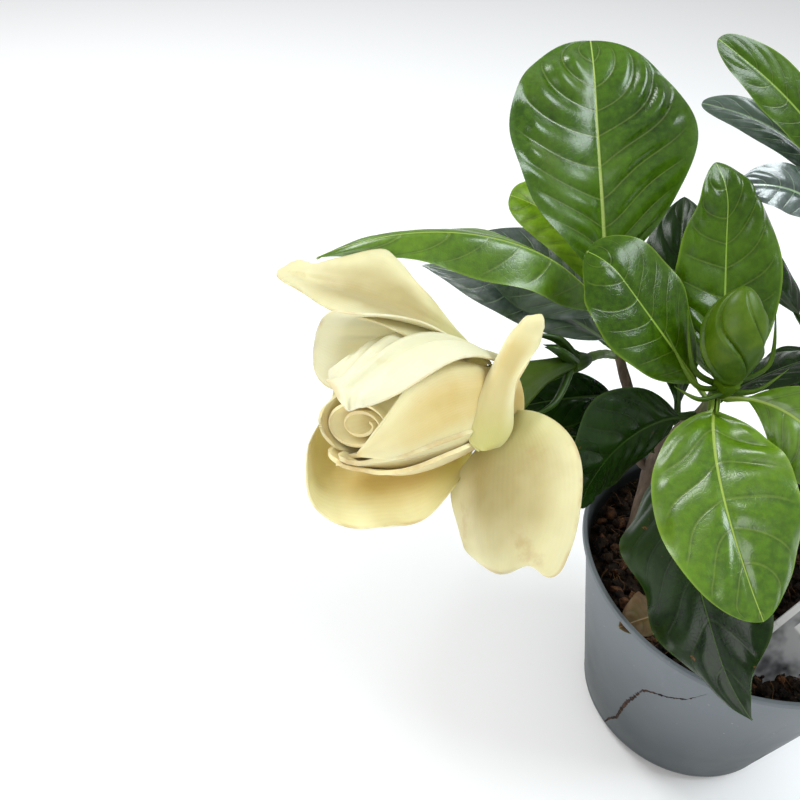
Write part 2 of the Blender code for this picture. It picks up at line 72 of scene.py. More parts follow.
# A blade starts at a place and grows along a heading and a rise, which change by its swing and its droop.
# Base and tip say how full its outline is there; cup and fold bend it across; quilt, groove, lumps and
# ripple are the height of its relief.
LEAVES = {
    "leaf_left": dict(at=(-38.6, 7, 180), heading=162, rise=45, droop=4, swing=-8, long=66, wide=37,
        roll=-30, widest=0.55, base=0.87, tip=0.5, cup=-14, nod=35, quilt=0.3, lumps=1.6),
    "leaf_behind_bud": dict(at=(-33, 10.9, 178), heading=78, rise=40, droop=-38, swing=50, long=80, wide=40,
        roll=-6, widest=0.5, base=0.65, tip=0.66, cup=-14, nod=45, quilt=1.3, lumps=3.0),
    "leaf_front": dict(at=(-36.5, 2.2, 179.5), heading=-108, rise=-2, droop=42, swing=52, long=76, wide=43,
        roll=21, widest=0.45, base=0.64, tip=0.62, cup=-8, veins=6, quilt=1.1, lumps=3.0, ripple=1.2),
    "leaf_right": dict(at=(-30.8, 4.3, 180.7), heading=-38, rise=36, droop=110, swing=-13, long=54, wide=29,
        roll=40, widest=0.55, base=1.2, tip=0.65, cup=-8),
    "leaf_right_grey": dict(at=(-33, 11.6, 171), heading=20, rise=38, droop=45, long=56, wide=23, roll=-20,
        cup=-8),
    "leaf_over_rim": dict(at=(-39.5, 11.6, 149), heading=-98, rise=-7, droop=36, swing=38, long=98, wide=56,
        roll=58, widest=0.32, base=0.7, tip=1.1, cup=-10, quilt=0.5, ripple=3.0, groove=0.3, nod=-30),
    "leaf_low_left": dict(at=(-39.6, 8.6, 168), heading=-165, rise=3, droop=40, swing=50, long=57, wide=42,
        roll=-77, widest=0.52, base=0.95, tip=0.5, cup=-12, quilt=1.4, lumps=3.5),
    "leaf_round": dict(at=(-69.8, 43.4, 191.5), heading=122, rise=70, droop=28, swing=-28, long=94, wide=69,
        roll=-3, widest=0.57, base=1.2, tip=0.66, cup=18, nod=20, quilt=1.4, veins=9, sweep=0.24,
        lumps=2.6),
    "leaf_arching": dict(at=(-70.8, 40.5, 187), heading=-160, rise=60, droop=94, swing=-22, long=121,
        wide=29, roll=-8, widest=0.3, base=0.6, tip=1.0, fold=-35, quilt=0.6, ripple=1.6, lumps=1.5),
    "leaf_slate": dict(at=(-67, 42.6, 180.4), heading=150, rise=24, droop=18, long=64, wide=31, roll=-40,
        widest=0.48, base=1.0, tip=1.0, cup=6, lumps=2.0),
    "leaf_slate_back": dict(at=(-63, 40.6, 172), heading=150, rise=20, droop=30, swing=8, long=85, wide=24,
        roll=-30, widest=0.42, base=0.8, tip=1.1, lumps=2.0),
    "leaf_pale": dict(at=(-67.5, 45, 186), heading=151, rise=72, droop=70, swing=8, long=60, wide=20,
        roll=-50, widest=0.65, base=0.7, tip=0.4),
    "leaf_dark_back": dict(at=(-38.4, 18.4, 156), heading=100, rise=52, droop=25, swing=-20, long=90,
        wide=30, roll=-22, widest=0.6, base=1.2, tip=0.8),
    "leaf_under_flower": dict(at=(-57, 32, 155), heading=-166, rise=10, droop=25, long=50, wide=22,
        roll=-50),
    "leaf_under_flower_low": dict(at=(-44.4, 18.6, 140), heading=176, rise=15, droop=30, long=46, wide=20,
        roll=-40),
    "leaf_far_bright": dict(at=(10.2, 67, 233), heading=173, rise=47, droop=22, long=72, wide=19, roll=-50,
        widest=0.5, base=0.7, tip=0.5, quilt=0.35),
    "leaf_far_grey": dict(at=(10, 69.4, 226), heading=169, rise=50, droop=50, long=63, wide=14, roll=-45,
        widest=0.47, base=0.7, tip=0.5),
    "leaf_far_brown": dict(at=(10.4, 62.5, 216), heading=-167, rise=52, droop=58, long=51, wide=18,
        roll=-45, widest=0.5, base=0.7, tip=0.7),
    "leaf_far_new": dict(at=(13, 67.2, 234.5), heading=155, rise=78, droop=10, long=52, wide=8, roll=-20,
        widest=0.4, base=0.7, tip=1.0),
    "leaf_back_tall": dict(at=(15.6, 70.4, 232), heading=35, rise=66, droop=40, long=74, wide=33),
    "leaf_back_out": dict(at=(14, 66, 222), heading=80, rise=35, droop=50, long=76, wide=36),
    "leaf_back_right": dict(at=(16.2, 62, 215), heading=-20, rise=30, droop=45, long=70, wide=32),
    "leaf_back_low": dict(at=(10.2, 51, 181), heading=120, rise=30, droop=40, long=68, wide=32, roll=10),
    "leaf_back_shade": dict(at=(10.8, 47.2, 176), heading=-112, rise=4, droop=16, long=46, wide=28,
        roll=-10),
    "leaf_back_side": dict(at=(16.4, 47, 172), heading=30, rise=20, droop=40, long=74, wide=34),
    "leaf_side_tall": dict(at=(44, 3, 178), heading=50, rise=74, droop=30, long=66, wide=33),
    "leaf_side_out": dict(at=(44.4, -2, 177), heading=-15, rise=38, droop=60, long=76, wide=38),
    "leaf_side_front": dict(at=(40.5, -3.6, 174), heading=-80, rise=25, droop=55, long=72, wide=36),
    "leaf_side_inner": dict(at=(38, 1.8, 176), heading=165, rise=62, droop=40, long=50, wide=26),
    "leaf_side_low": dict(at=(40.6, -4, 150), heading=-45, rise=8, droop=40, long=78, wide=40),
    "leaf_side_back": dict(at=(40, 4.4, 153), heading=65, rise=15, droop=40, long=66, wide=34),
    "leaf_curled": dict(at=(-31, -24.5, 98.5), heading=-158, rise=14, droop=26, long=27, wide=18, roll=30,
        widest=0.45, base=0.7, tip=0.8, ripple=3.5, twist=-60, lumps=4.0, fold=25),
}

PETALS = {
    "petal_top_left": dict(at=(-118.4, -10, 202), heading=172, rise=39, droop=60, swing=-24, long=73.5,
        wide=37, widest=0.62, base=0.8, tip=0.3, cup=10, nod=-8, end=1.0, ripple=1.2, waves=2.4,
        left=(1, 1, 1, 1, 0.95, 0.85, 0.72, 0.66, 0.54),
        right=(0.4, 0.3, 0.3, 0.55, 0.95, 1.12, 0.55, 0.42, 0.5), creases=((0.1, 0.25, 1.6),)),
    "petal_right_down": dict(at=(-111.2, -22.5, 189), heading=-84, rise=-6, droop=44, swing=-14, long=50,
        wide=50, roll=46, widest=0.56, base=0.6, tip=0.36, cup=-15, ripple=1, waves=1.6,
        left=(1, 1, 1, 1, 1, 1, 1.2), right=(1.1, 1.1, 1, 0.95, 0.95, 0.95, 0.9), foot=1, lead=0,
        creases=((0.4, 0.3, 1.6), (-0.25, 0.3, -1.6)), notch=(9.5, 6, 5)),
    "petal_left_down": dict(at=(-118.4, -21.6, 174.2), heading=-166, rise=-4, droop=-12, long=57, wide=51,
        roll=-22, widest=0.5, base=0.7, tip=0.26, cup=20, nod=-60, ripple=1.6,
        creases=((-0.1, 0.2, 1.0), (0.5, 0.25, -1.2)), foot=0.5, lead=0,
        left=(0.65, 0.78, 0.94, 0.97, 0.97, 1, 1)),
    "petal_right_fold": dict(at=(-117.6, -39.4, 190.4), heading=85, rise=56, droop=32, swing=-38, long=45,
        wide=15, roll=3, widest=0.35, base=0.28, tip=0.42, cup=-55, ripple=1.2, waves=1.4,
        left=(1.1, 1, 0.9, 0.75, 0.7, 0.9, 1), right=(1.4, 1.3, 0.9, 0.65, 0.8, 1, 1), nod=18, foot=1.5,
        end=0.5, lead=0),
    "petal_under": dict(at=(-113, -12, 179), heading=100, rise=-30, droop=-20, long=38, wide=32,
        widest=0.58, base=0.7, tip=0.4, cup=10),
}

# The heart: petals wrapped round a cone on the flower's own line, its angles from the top to the front.
# Middle and turn place a petal round the cone and wind it; layer, swell and opening lift it off the cone.
THROAT = (-117.0, -17.5, 191.3)
FLOWER_HEADING = -154.0
FLOWER_RISE = 5.0
THROAT_RADIUS = 12.0
BELLY_RADIUS = 17.0
MOUTH_RADIUS = 6.5
BELLY_AT = 28.0
MOUTH_AT = 54.0
SCROLL_GRID = (24, 120)
SCROLL_TURN = 860.0
SCROLL_START = 20.0
SCROLL_CORE = 1.3
SCROLL_SPREAD = 6.9
SCROLL_FOOT = 12.0
SCROLL_RIM = 40.5
SCROLL_THICKNESS = 1.0
WRAPPED = {
    "petal_far_left": dict(middle=-62, turn=-8, spread=46, widest=0.7, full=0.25, long=45, layer=2.5,
        swell=5, opening=17, lip=1.5, neck=0.3, folds=((0.3, 0.12, 1.5), (-0.2, 0.14, 1.2))),
    "petal_inner_top": dict(middle=-52, turn=48, late=1.6, spread=54, widest=0.6, full=0.22, long=51,
        start=7, layer=0.8, swell=1.2, opening=3, bulge=5.5, tip_ripple=1.2, neck=0.05,
        folds=((0.62, 0.07, 2.2), (0.34, 0.07, 2), (0.05, 0.08, 2.4), (-0.3, 0.09, 2))),
    "petal_inner_front": dict(middle=38, turn=56, late=3, spread=46, widest=0.45, full=0.7, long=47,
        start=8, layer=-1.4, bulge=2, opening=1.5, neck=0.1, folds=((0.2, 0.25, 0.8),)),
    "petal_inner_low": dict(middle=136, turn=4, spread=57, widest=0.5, full=0.45, long=49, layer=-0.6,
        start=6, opening=0.2, flare=0.2, lip=0.9, thick=1.3, neck=0.15, slant=0.5),
    "petal_inner_back": dict(middle=-140, turn=10, spread=66, widest=0.55, full=0.25, long=46, layer=-1,
        slant=0.5, thick=1.1),
    "petal_rim_low": dict(middle=152, turn=4, spread=58, widest=0.5, full=0.4, long=49, layer=0.9, start=6,
        opening=0.6, flare=0.2, lip=1, thick=1.3, neck=0.15, slant=0.6),
}

STEMS = {
    "stem_front": ((-40, 14, 91, 4.4), (-40.5, 18, 110, 3.3), (-41, 21, 131, 2.9), (-40, 15, 152, 2.3),
                   (-36, 9, 170, 2.2), (-35, 6, 182, 2.5)),
    "stem_left": ((-42, 21, 128, 1.9), (-46, 24, 131, 2.1), (-52, 31, 150, 2.1), (-60, 37, 168, 1.9),
                  (-68.5, 42.4, 190, 1.7)),
    "stem_back": ((12, 20, 91, 4.0), (13, 32, 130, 2.8), (13.5, 47, 170, 2.3), (13.5, 58, 205, 2.0),
                  (13, 66.4, 233, 1.7)),
    "stem_right": ((31, 6, 91, 3.8), (35, 2, 120, 2.7), (39, 0, 150, 2.3), (42, 0, 178, 1.9)),
    "flower_stalk": ((-62, 38, 170, 1.5), (-64, 36, 171.5, 1.5), (-69, 28, 178, 1.6), (-75, 20, 183, 1.6),
                     (-80, 14.6, 185, 1.8)),
}

TUBE_ROUTE = ((-85, 10, 187, 2.4), (-98, -1, 190, 4.4), (-113, -14.3, 191, 10.0))
FLOWER_CUP = ((-79, 15.2, 184.7, 2.0), (-82, 12.6, 185.6, 3.1), (-86.4, 8.8, 187, 3.3))
FLOWER_LOBES = (((-85, 10, 188.5), (-92, 10, 196), (-103, 6.5, 200)),
                ((-85.5, 8, 188.5), (-93, 1, 198), (-98, 0, 200)),
                ((-84, 12, 188), (-89, 13, 190), (-96, 12, 192)),
                ((-86, 8, 185), (-92, -6, 182), (-101, -12, 180)),
                ((-84, 11, 184.5), (-94, 8, 180), (-103, 6, 176)))
FLOWER_LOBE_WIDTH = 2.2
BUD_CUP = ((-35, 5.6, 181.6, 2.6), (-34.2, 5.2, 185, 3.8), (-33.8, 5, 188.4, 4.6))
BUD_LOBES = (((-36.5, 6, 185), (-46, 7, 191), (-51, 15, 208)),
             ((-36.5, 4, 185), (-46, 2, 188), (-58, 9, 203)),
             ((-32, 6, 185), (-20, 10, 192), (-22, 16, 209)),
             ((-35, 3, 184), (-44, -2, 184.5), (-52, 2, 186)),
             ((-32, 4, 184), (-24, 3, 186), (-14, 8, 192)))
BUD_LOBE_WIDTH = 1.3
BUD_FOOT = (-33.7, 5.1, 187.6)
BUD_TIP = (-36.0, 12.6, 219.5)
BUD_RADIUS = 10.0


# ---------------------------------------------------------------- workshop helpers

def put_down_all():
    """Nothing selected and nothing in hand."""
    if bpy.context.mode != "OBJECT":
        bpy.ops.object.mode_set(mode="OBJECT")
    bpy.ops.object.select_all(action="DESELECT")


def pick_up(*things):
    put_down_all()
    for thing in things:
        thing.select_set(True)
    bpy.context.view_layer.objects.active = things[0]


def hand_over(piece, node, material):
    """Give a finished piece its material and its place on the pot's body, and hide the CAD node it stands
    for.
    """
    piece.data.materials.clear()
    piece.data.materials.append(material)
    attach(piece, "root")
    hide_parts(node)


def read_points(mesh):
    points = np.empty(len(mesh.vertices) * 3)
    mesh.vertices.foreach_get("co", points)
    return points.reshape(-1, 3)


def write_points(mesh, points):
    mesh.vertices.foreach_set("co", np.ascontiguousarray(points, dtype=np.float32).ravel())
    mesh.update()


def read_normals(mesh):
    normals = np.empty(len(mesh.vertices) * 3, dtype=np.float32)
    mesh.vertex_normals.foreach_get("vector", normals)
    return normals.reshape(-1, 3).astype(float)


def note_on_points(mesh, name, values):
    """Keep a number per point that the material reads."""
    layer = mesh.attributes.get(name) or mesh.attributes.new(name, "FLOAT", "POINT")
    layer.data.foreach_set("value", np.ascontiguousarray(values, dtype=np.float32))


def note_on_both_sides(mesh, **notes):
    """The same numbers on the first and the second side of a thickened sheet."""
    for name, values in notes.items():
        note_on_points(mesh, name, np.concatenate([values, values]))


def smooth_step(low, high, value):
    share = np.clip((value - low) / (high - low), 0, 1)
    return share * share * (3 - 2 * share)


def along_list(values, share):
    """A smooth value along a blade, from a few figures at even stations."""
    stations = np.linspace(0, 1, len(values))
    fine = np.linspace(0, 1, 201)
    rough = np.interp(fine, stations, values)
    width = max(int(100 / len(values)), 1)
    weights = np.hanning(2 * width + 1)
    padded = np.pad(rough, width, mode="edge")
    return np.interp(share, fine, np.convolve(padded, weights / weights.sum(), mode="valid"))


def new_sheet(name, stations, strips, crowd=0.0):
    """A flat grid, its share along (0 to 1, rows crowding to the tip) and its place across (-1 to 1)."""
    put_down_all()
    bpy.ops.mesh.primitive_grid_add(x_subdivisions=stations, y_subdivisions=strips, size=1)
    sheet = bpy.context.object
    sheet.name = name
    sheet.data.name = name
    flat = read_points(sheet.data)
    even = flat[:, 0] + 0.5
    return sheet, even * (1 - crowd) + np.sin(np.pi / 2 * even) * crowd, flat[:, 1] * 2


def give_thickness(sheet, thickness):
    """Turn a sheet into a closed skin, its second side after its first in the point list."""
    pick_up(sheet)
    wall = sheet.modifiers.new("thickness", "SOLIDIFY")
    wall.thickness = thickness * MM
    wall.offset = -1
    bpy.ops.object.modifier_apply(modifier=wall.name)


def smooth_faces(piece, angle):
    pick_up(piece)
    bpy.ops.object.shade_smooth_by_angle(angle=math.radians(angle))


# ---------------------------------------------------------------- leaves and outer petals

def blade_axes(row, share):
    heading = np.radians(row["heading"] + row.get("swing", 0) * share)
    nod = row.get("nod", 0) * smooth_step(0.75, 1.0, share)
    rise = np.radians(row["rise"] - row["droop"] * share - nod)
    roll = np.radians(row.get("roll", 0) + row.get("twist", 0) * share)
    flat = np.zeros_like(share)
    growth = np.stack([np.cos(rise) * np.cos(heading), np.cos(rise) * np.sin(heading), np.sin(rise)], -1)
    side = np.stack([-np.sin(heading), np.cos(heading), flat], -1)
    face = np.cross(growth, side)
    cos_roll, sin_roll = np.cos(roll)[:, None], np.sin(roll)[:, None]
    return growth, side * cos_roll + face * sin_roll, face * cos_roll - side * sin_roll


def blade_half_width(row, share, stalk, narrowest):
    share = np.clip((share - stalk) / (1 - stalk), 0, 1)
    widest = row.get("widest", 0.5)
    before = 1 - share / widest
    after = (share - widest) / (1 - widest)
    away = np.where(share < widest, before, after)
    power = np.where(share < widest, row.get("base", 0.75), row.get("tip", 0.8))
    half = row["wide"] / 2 * np.clip(1 - away * away, 0, None) ** power
    return np.maximum(half, narrowest)


def lay_blade(row, share, across, stalk, lead, foot_width, tip_width):
    """Points of a blade in mm, the way its face looks, the distance from the midrib and the share along."""
    steps = 400
    fine = (np.arange(steps) + 0.5) / steps
    growth, _, _ = blade_axes(row, fine)
    spine = np.vstack([[0, 0, 0], np.cumsum(growth * row["long"] / steps, axis=0)]) + np.array(row["at"])
    first = growth[0]
    stations = np.linspace(0, 1, steps + 1)
    # A little of the length before the start runs into the stem
    reach = share * (1 + lead) - lead
    on_blade = np.clip(reach, 0, 1)
    centre = np.stack([np.interp(on_blade, stations, spine[:, axis]) for axis in range(3)], -1)
    centre = centre + first * (np.minimum(reach, 0) * row["long"])[:, None]
    _, side, face = blade_axes(row, on_blade)
    narrowest = foot_width + (tip_width - foot_width) * smooth_step(0.3, 0.9, on_blade)
    half = blade_half_width(row, on_blade, stalk, narrowest)
    if "right" in row:
        half = half * np.where(across < 0, along_list(row["right"], on_blade), 1)
    if "left" in row:
        half = half * np.where(across > 0, along_list(row["left"], on_blade), 1)
    cup = math.radians(row.get("cup", 0)) or 0.001
    fold = math.radians(row.get("fold", 0))
    outward = half * np.sin(across * cup) / cup
    lift = half * (1 - np.cos(across * cup)) / cup + np.abs(outward) * math.sin(fold)
    centre = centre + side * (outward * math.cos(fold))[:, None] + face * lift[:, None]
    return centre, face, half * across, on_blade


def leaf_relief(row, along, across, distance, seed):
    """Height of the quilting, the sunken veins and the wavy margin, mm, with the phase of the side veins."""
    draw = np.random.default_rng(seed)
    veins = row.get("veins", 8)
    size = row["wide"] / 40
    sweep = row.get("sweep", 0.2)
    phase = veins * (along - sweep * np.abs(across) ** 1.3) + 0.28 * across + draw.uniform(0, 1)
    phase = phase + 0.2 * np.sin(5 * along + 2 * across + draw.uniform(0, 6))
    phase = phase + 0.1 * np.sin(13 * along - 4 * across + draw.uniform(0, 6))
    pillow = np.abs(np.sin(np.pi * phase)) ** 1.1
    pillow = pillow * (0.75 + 0.45 * np.sin(9 * along + 5 * across + draw.uniform(0, 6)))
    reach = smooth_step(0.06, 0.2, along) * (1 - smooth_step(0.86, 1.0, along))
    near_margin = 1 - smooth_step(0.72, 1.0, np.abs(across))
    near_rib = 1 - np.exp(-(distance / (3.2 * size)) ** 2)
    before_tip = 1 - smooth_step(0.82, 1.0, along)
    height = row.get("quilt", 1.0) * size * pillow * reach * near_margin * near_rib
    height -= row.get("groove", 0.55) * np.exp(-(distance / 1.3) ** 2) * reach
    for _ in range(3):
        turn, pitch, start = draw.uniform(0, 6.28), draw.uniform(4, 9), draw.uniform(0, 6.28)
        wave = np.sin(pitch * (along * math.cos(turn) + across * 0.5 * math.sin(turn)) + start)
        height += row.get("lumps", 0.5) * size * 0.5 * wave * np.abs(across) * before_tip
    ripple = row.get("ripple", 0.8) * size
    for side in (-1, 1):
        pitch, start = draw.uniform(15, 24), draw.uniform(0, 6.28)
        wave = np.sin(pitch * along + start) * smooth_step(0.1, 0.3, along)
        height += ripple * wave * np.where(across * side > 0, np.abs(across) ** 4, 0) * before_tip
    return height, phase


def grow_leaf(name, row, seed):
    grid = BIG_LEAF_GRID if row["long"] * row["wide"] > BIG_LEAF_AREA else LEAF_GRID
    sheet, share, across = new_sheet(name + "_blade", *grid, CROWDED_ROWS)
    points, face, distance, along = lay_blade(row, share, across, LEAF_STALK / row["long"],
                                              INTO_STEM / row["long"], LEAF_FOOT, LEAF_TIP)
    height, phase = leaf_relief(row, along, across, distance, seed)
    points = points + face * (height + 0.15)[:, None]
    write_points(sheet.data, points * MM)
    count = len(points)
    give_thickness(sheet, LEAF_THICKNESS)
    mesh = sheet.data
    skin = read_points(mesh) / MM
    top_normals = read_normals(mesh)[:count]
    rib = (0.25 + 0.95 * (1 - along) ** 1.5) * np.exp(-(distance / (0.45 + 0.7 * (1 - along))) ** 2)
    side_ribs = 0.16 * np.exp(-(np.abs(phase - np.round(phase)) / 0.05) ** 2) * (1 - np.abs(across) ** 3)
    skin[count:2 * count] = skin[:count] - top_normals * (LEAF_THICKNESS + rib + side_ribs)[:, None]
    write_points(mesh, skin * MM)
    note_on_both_sides(mesh, across=across, distance=distance, along=along, phase=phase)
    note_on_points(mesh, "under", np.concatenate([np.zeros(count), np.ones(count)]))
    smooth_faces(sheet, 60)
    return sheet


def grow_petal(name, row, seed):
    sheet, share, across = new_sheet(name + "_blade", *OUTER_PETAL_GRID, CROWDED_ROWS)
    draw = np.random.default_rng(seed)
    points, face, distance, along = lay_blade(row, share, across, 0, row.get("lead", 4.0) / row["long"],
                                              row.get("foot", 3.0), row.get("end", 0.3))
    height = np.zeros_like(along)
    spread = across * (1 - smooth_step(0.84, 1.0, along))
    for _ in range(4):
        turn, pitch, start = draw.uniform(0, 6.28), draw.uniform(3, 7), draw.uniform(0, 6.28)
        height += 0.45 * np.sin(pitch * (along * math.cos(turn) + spread * 0.5 * math.sin(turn)) + start)
    edge = np.maximum(np.abs(across) ** 5, smooth_step(0.8, 1.0, along))
    wave = np.sin(row.get("waves", 3) * 6.28 * along + 2.2 * spread + draw.uniform(0, 6))
    height += row.get("ripple", 1.0) * wave * edge
    for crease in row.get("creases", ()):
        middle, width, depth = crease
        before_tip = smooth_step(0.05, 0.4, along) * (1 - smooth_step(0.8, 1.0, along))
        height -= depth * np.exp(-((across - middle) / width) ** 2) * before_tip
    points = points + face * height[:, None]
    if "notch" in row:
        middle, width, depth = row["notch"]
        pull = depth * np.exp(-((distance - middle) / width) ** 2) * smooth_step(0.5, 1.0, along)
        points = points - blade_axes(row, along)[0] * pull[:, None]
    return finish_sheet(sheet, points, along, across, row.get("thick", PETAL_THICKNESS), 80)


def finish_sheet(sheet, points, along, across, thickness, smooth_angle):
    write_points(sheet.data, points * MM)
    give_thickness(sheet, thickness)
    note_on_both_sides(sheet.data, across=across, along=along)
    smooth_faces(sheet, smooth_angle)
    return sheet


# ---------------------------------------------------------------- heart of the flower

def flower_axes():
    heading, rise = math.radians(FLOWER_HEADING), math.radians(FLOWER_RISE)
    along = np.array([math.cos(rise) * math.cos(heading), math.cos(rise) * math.sin(heading), math.sin(rise)])
    top = np.array([0, 0, 1]) - along * along[2]
    top = top / np.linalg.norm(top)
    return along, top, np.cross(top, along)


def cone_radius(reach):
    widening = np.sin(np.pi / 2 * np.clip(reach, 0, BELLY_AT) / BELLY_AT)
    opening = THROAT_RADIUS + (BELLY_RADIUS - THROAT_RADIUS) * widening
    closing = np.cos(np.pi / 2 * np.clip((reach - BELLY_AT) / (MOUTH_AT - BELLY_AT), 0, 1))
    closed = MOUTH_RADIUS + (BELLY_RADIUS - MOUTH_RADIUS) * closing
    return np.where(reach < BELLY_AT, opening, closed)


def on_cone(reach, radius, angle):
    along, top, front = flower_axes()
    turn = np.radians(angle)
    spoke = np.cos(turn)[:, None] * top + np.sin(turn)[:, None] * front
    return np.array(THROAT) + reach[:, None] * along + radius[:, None] * spoke


def wrap_petal(name, row, seed):
    sheet, share, across = new_sheet(name + "_blade", *WRAPPED_PETAL_GRID, CROWDED_ROWS)
    draw = np.random.default_rng(seed)
    before = 1 - row.get("neck", 0.5) * (1 - share / row["widest"]) ** 2
    after = np.clip(1 - ((share - row["widest"]) / (1 - row["widest"])) ** 2, 0, None) ** row.get("full", 0.5)
    width = np.where(share < row["widest"], before, after)
    angle = row["middle"] + row["turn"] * share ** row.get("late", 1.0)
    angle = angle + across * np.maximum(width, 0.06) * row["spread"]
    spread = across * (1 - smooth_step(0.9, 1.0, share))
    uphill = np.maximum(np.cos(np.radians(angle + 25)), 0) ** 1.5
    reach = share * row["long"] - row.get("start", 0) * (1 - share)
    reach = reach - row.get("slant", 0) * cone_radius(reach) * np.cos(np.radians(angle - 60)) * share ** 2
    stand_off = row.get("layer", 0) + row.get("opening", 0) * share ** 3
    stand_off = stand_off + row.get("swell", 0) * np.sin(np.pi * share)
    stand_off = stand_off + row.get("bulge", 0) * uphill * np.sin(np.pi * share ** 0.85)
    stand_off = stand_off + row.get("tip_ripple", 0) * np.sin(9 * spread + 1) * smooth_step(0.7, 1.0, share)
    for middle, fold_width, depth in row.get("folds", ()):
        fold = np.exp(-((across - middle + 0.3 * share) / fold_width) ** 2)
        stand_off = stand_off - depth * fold * np.sin(np.pi * share)
    stand_off = stand_off + row.get("flare", 0) * share * np.maximum(-across, 0) ** 2
    edge = np.maximum(np.abs(across) ** 6, smooth_step(0.82, 1.0, share))
    stand_off = stand_off + row.get("lip", 0.8) * edge * smooth_step(0.1, 0.5, share)
    stand_off = stand_off + 0.35 * np.sin(7 * share + 3 * spread + draw.uniform(0, 6)) * share
    points = on_cone(reach, cone_radius(reach) + stand_off, angle)
    return finish_sheet(sheet, points, share, across, row.get("thick", PETAL_THICKNESS), 80)


def roll_scroll():
    """The innermost petal, rolled up on itself, its rim slanting down to the front."""
    sheet, share, across = new_sheet("petal_scroll_blade", *SCROLL_GRID)
    wound = (across + 1) / 2
    turn = SCROLL_TURN * wound + SCROLL_START
    radius = (SCROLL_CORE + SCROLL_SPREAD * wound) * (1 + 0.25 * np.sin(np.pi * share))
    radius = radius + 1.0 * smooth_step(0.85, 1.0, share)
    rim = SCROLL_RIM + 3.5 * wound - 0.85 * radius * np.cos(np.radians(turn - 60))
    points = on_cone(SCROLL_FOOT + share * (rim - SCROLL_FOOT), radius, turn)
    points[:, 2] -= 2.0 * share
    return finish_sheet(sheet, points, share, across, SCROLL_THICKNESS, 80)


# ---------------------------------------------------------------- round pieces along a route

def smooth_route(points, steps):
    points = np.array(points, dtype=float)
    route = []
    for index in range(len(points) - 1):
        a = points[max(index - 1, 0)]
        b, c = points[index], points[index + 1]
        d = points[min(index + 2, len(points) - 1)]
        for step in range(steps):
            t = step / steps
            route.append(0.5 * (2 * b + (c - a) * t + (2 * a - 5 * b + 4 * c - d) * t ** 2
                                + (3 * b - a - 3 * c + d) * t ** 3))
    return np.vstack(route + [points[-1]])


def face_outward():
    bpy.ops.mesh.select_all(action="SELECT")
    bpy.ops.mesh.normals_make_consistent(inside=False)
    bpy.ops.object.mode_set(mode="OBJECT")


def close_skin(sheet, weld):
    """Weld a rolled sheet's seam within a distance in metres, close its ends and smooth it."""
    pick_up(sheet)
    bpy.ops.object.mode_set(mode="EDIT")
    bpy.ops.mesh.select_all(action="SELECT")
    bpy.ops.mesh.remove_doubles(threshold=weld)
    bpy.ops.mesh.select_all(action="SELECT")
    bpy.ops.mesh.fill_holes(sides=0)
    face_outward()
    smooth_faces(sheet, 60)


def roll_tube(name, route, sides, shape=None):
    """Roll a flat grid round a route of (x, y, z, radius) and close its seam and ends."""
    stations = len(route) - 1
    sheet, share, across = new_sheet(name, stations, sides)
    centre, radius = route[:, :3], route[:, 3]
    ahead = np.gradient(centre, axis=0)
    ahead /= np.linalg.norm(ahead, axis=1)[:, None]
    first = np.cross(ahead, np.array([0, 1, 0.3]))
    first /= np.linalg.norm(first, axis=1)[:, None]
    second = np.cross(ahead, first)
    number = np.rint(share * stations).astype(int)
    turn = np.pi * (across + 1)
    spread = radius[number] * (1 if shape is None else shape(share, turn))
    spoke = np.cos(turn)[:, None] * first[number] + np.sin(turn)[:, None] * second[number]
    points = centre[number] + spoke * spread[:, None]
    write_points(sheet.data, points * MM)
    note_on_points(sheet.data, "along", share)
    close_skin(sheet, 0.001 * MM)
    return sheet


# ---------------------------------------------------------------- finishes

def new_finish(name):
    """A bare principled material, with its node tree and its shader."""
    material = bpy.data.materials.new(name)
    material.use_nodes = True
    tree = material.node_tree
    return material, tree, tree.nodes["Principled BSDF"]


def put(tree, kind, **settings):
    node = tree.nodes.new("ShaderNode" + kind)
    for label, value in settings.items():
        setattr(node, label, value)
    return node


def feed(tree, socket, value):
    """Link an output to a socket, or set the socket to a number or colour."""
    if isinstance(value, bpy.types.NodeSocket):
        tree.links.new(value, socket)
    elif isinstance(value, tuple) and len(value) == 3 and socket.type == "RGBA":
        socket.default_value = (*value, 1)
    else:
        socket.default_value = value


def set_sockets(node, settings):
    for label, value in settings.items():
        node.inputs[label].default_value = value


def sums(tree, operation, first, second=0.0):
    node = put(tree, "Math", operation=operation)
    feed(tree, node.inputs[0], first)
    feed(tree, node.inputs[1], second)
    return node.outputs[0]


def times(tree, first, second):
    return sums(tree, "MULTIPLY", first, second)


def blend_colours(tree, share, first, second):
    node = put(tree, "Mix", data_type="RGBA")
    feed(tree, node.inputs["Factor"], share)
    feed(tree, node.inputs[6], first)
    feed(tree, node.inputs[7], second)
    return node.outputs[2]


def between(tree, value, low, high, out_low=0.0, out_high=1.0):
    node = put(tree, "MapRange", interpolation_type="SMOOTHSTEP")
    feed(tree, node.inputs["Value"], value)
    for label, number in (("From Min", low), ("From Max", high), ("To Min", out_low), ("To Max", out_high)):
        feed(tree, node.inputs[label], number)
    return node.outputs["Result"]


def noted(tree, name):
    return put(tree, "Attribute", attribute_name=name).outputs["Fac"]


def grain(tree, scale, detail=3.0, roughness=0.55, stretch=None):
    """Noise fixed to the piece; scale is features per metre."""
    place = put(tree, "TexCoord").outputs["Object"]
    if stretch:
        mapping = put(tree, "Mapping")
        mapping.inputs["Scale"].default_value = stretch
        feed(tree, mapping.inputs["Vector"], place)
        place = mapping.outputs[0]
    node = put(tree, "TexNoise")
    feed(tree, node.inputs["Vector"], place)
    set_sockets(node, {"Scale": scale, "Detail": detail, "Roughness": roughness})
    return node.outputs["Fac"]


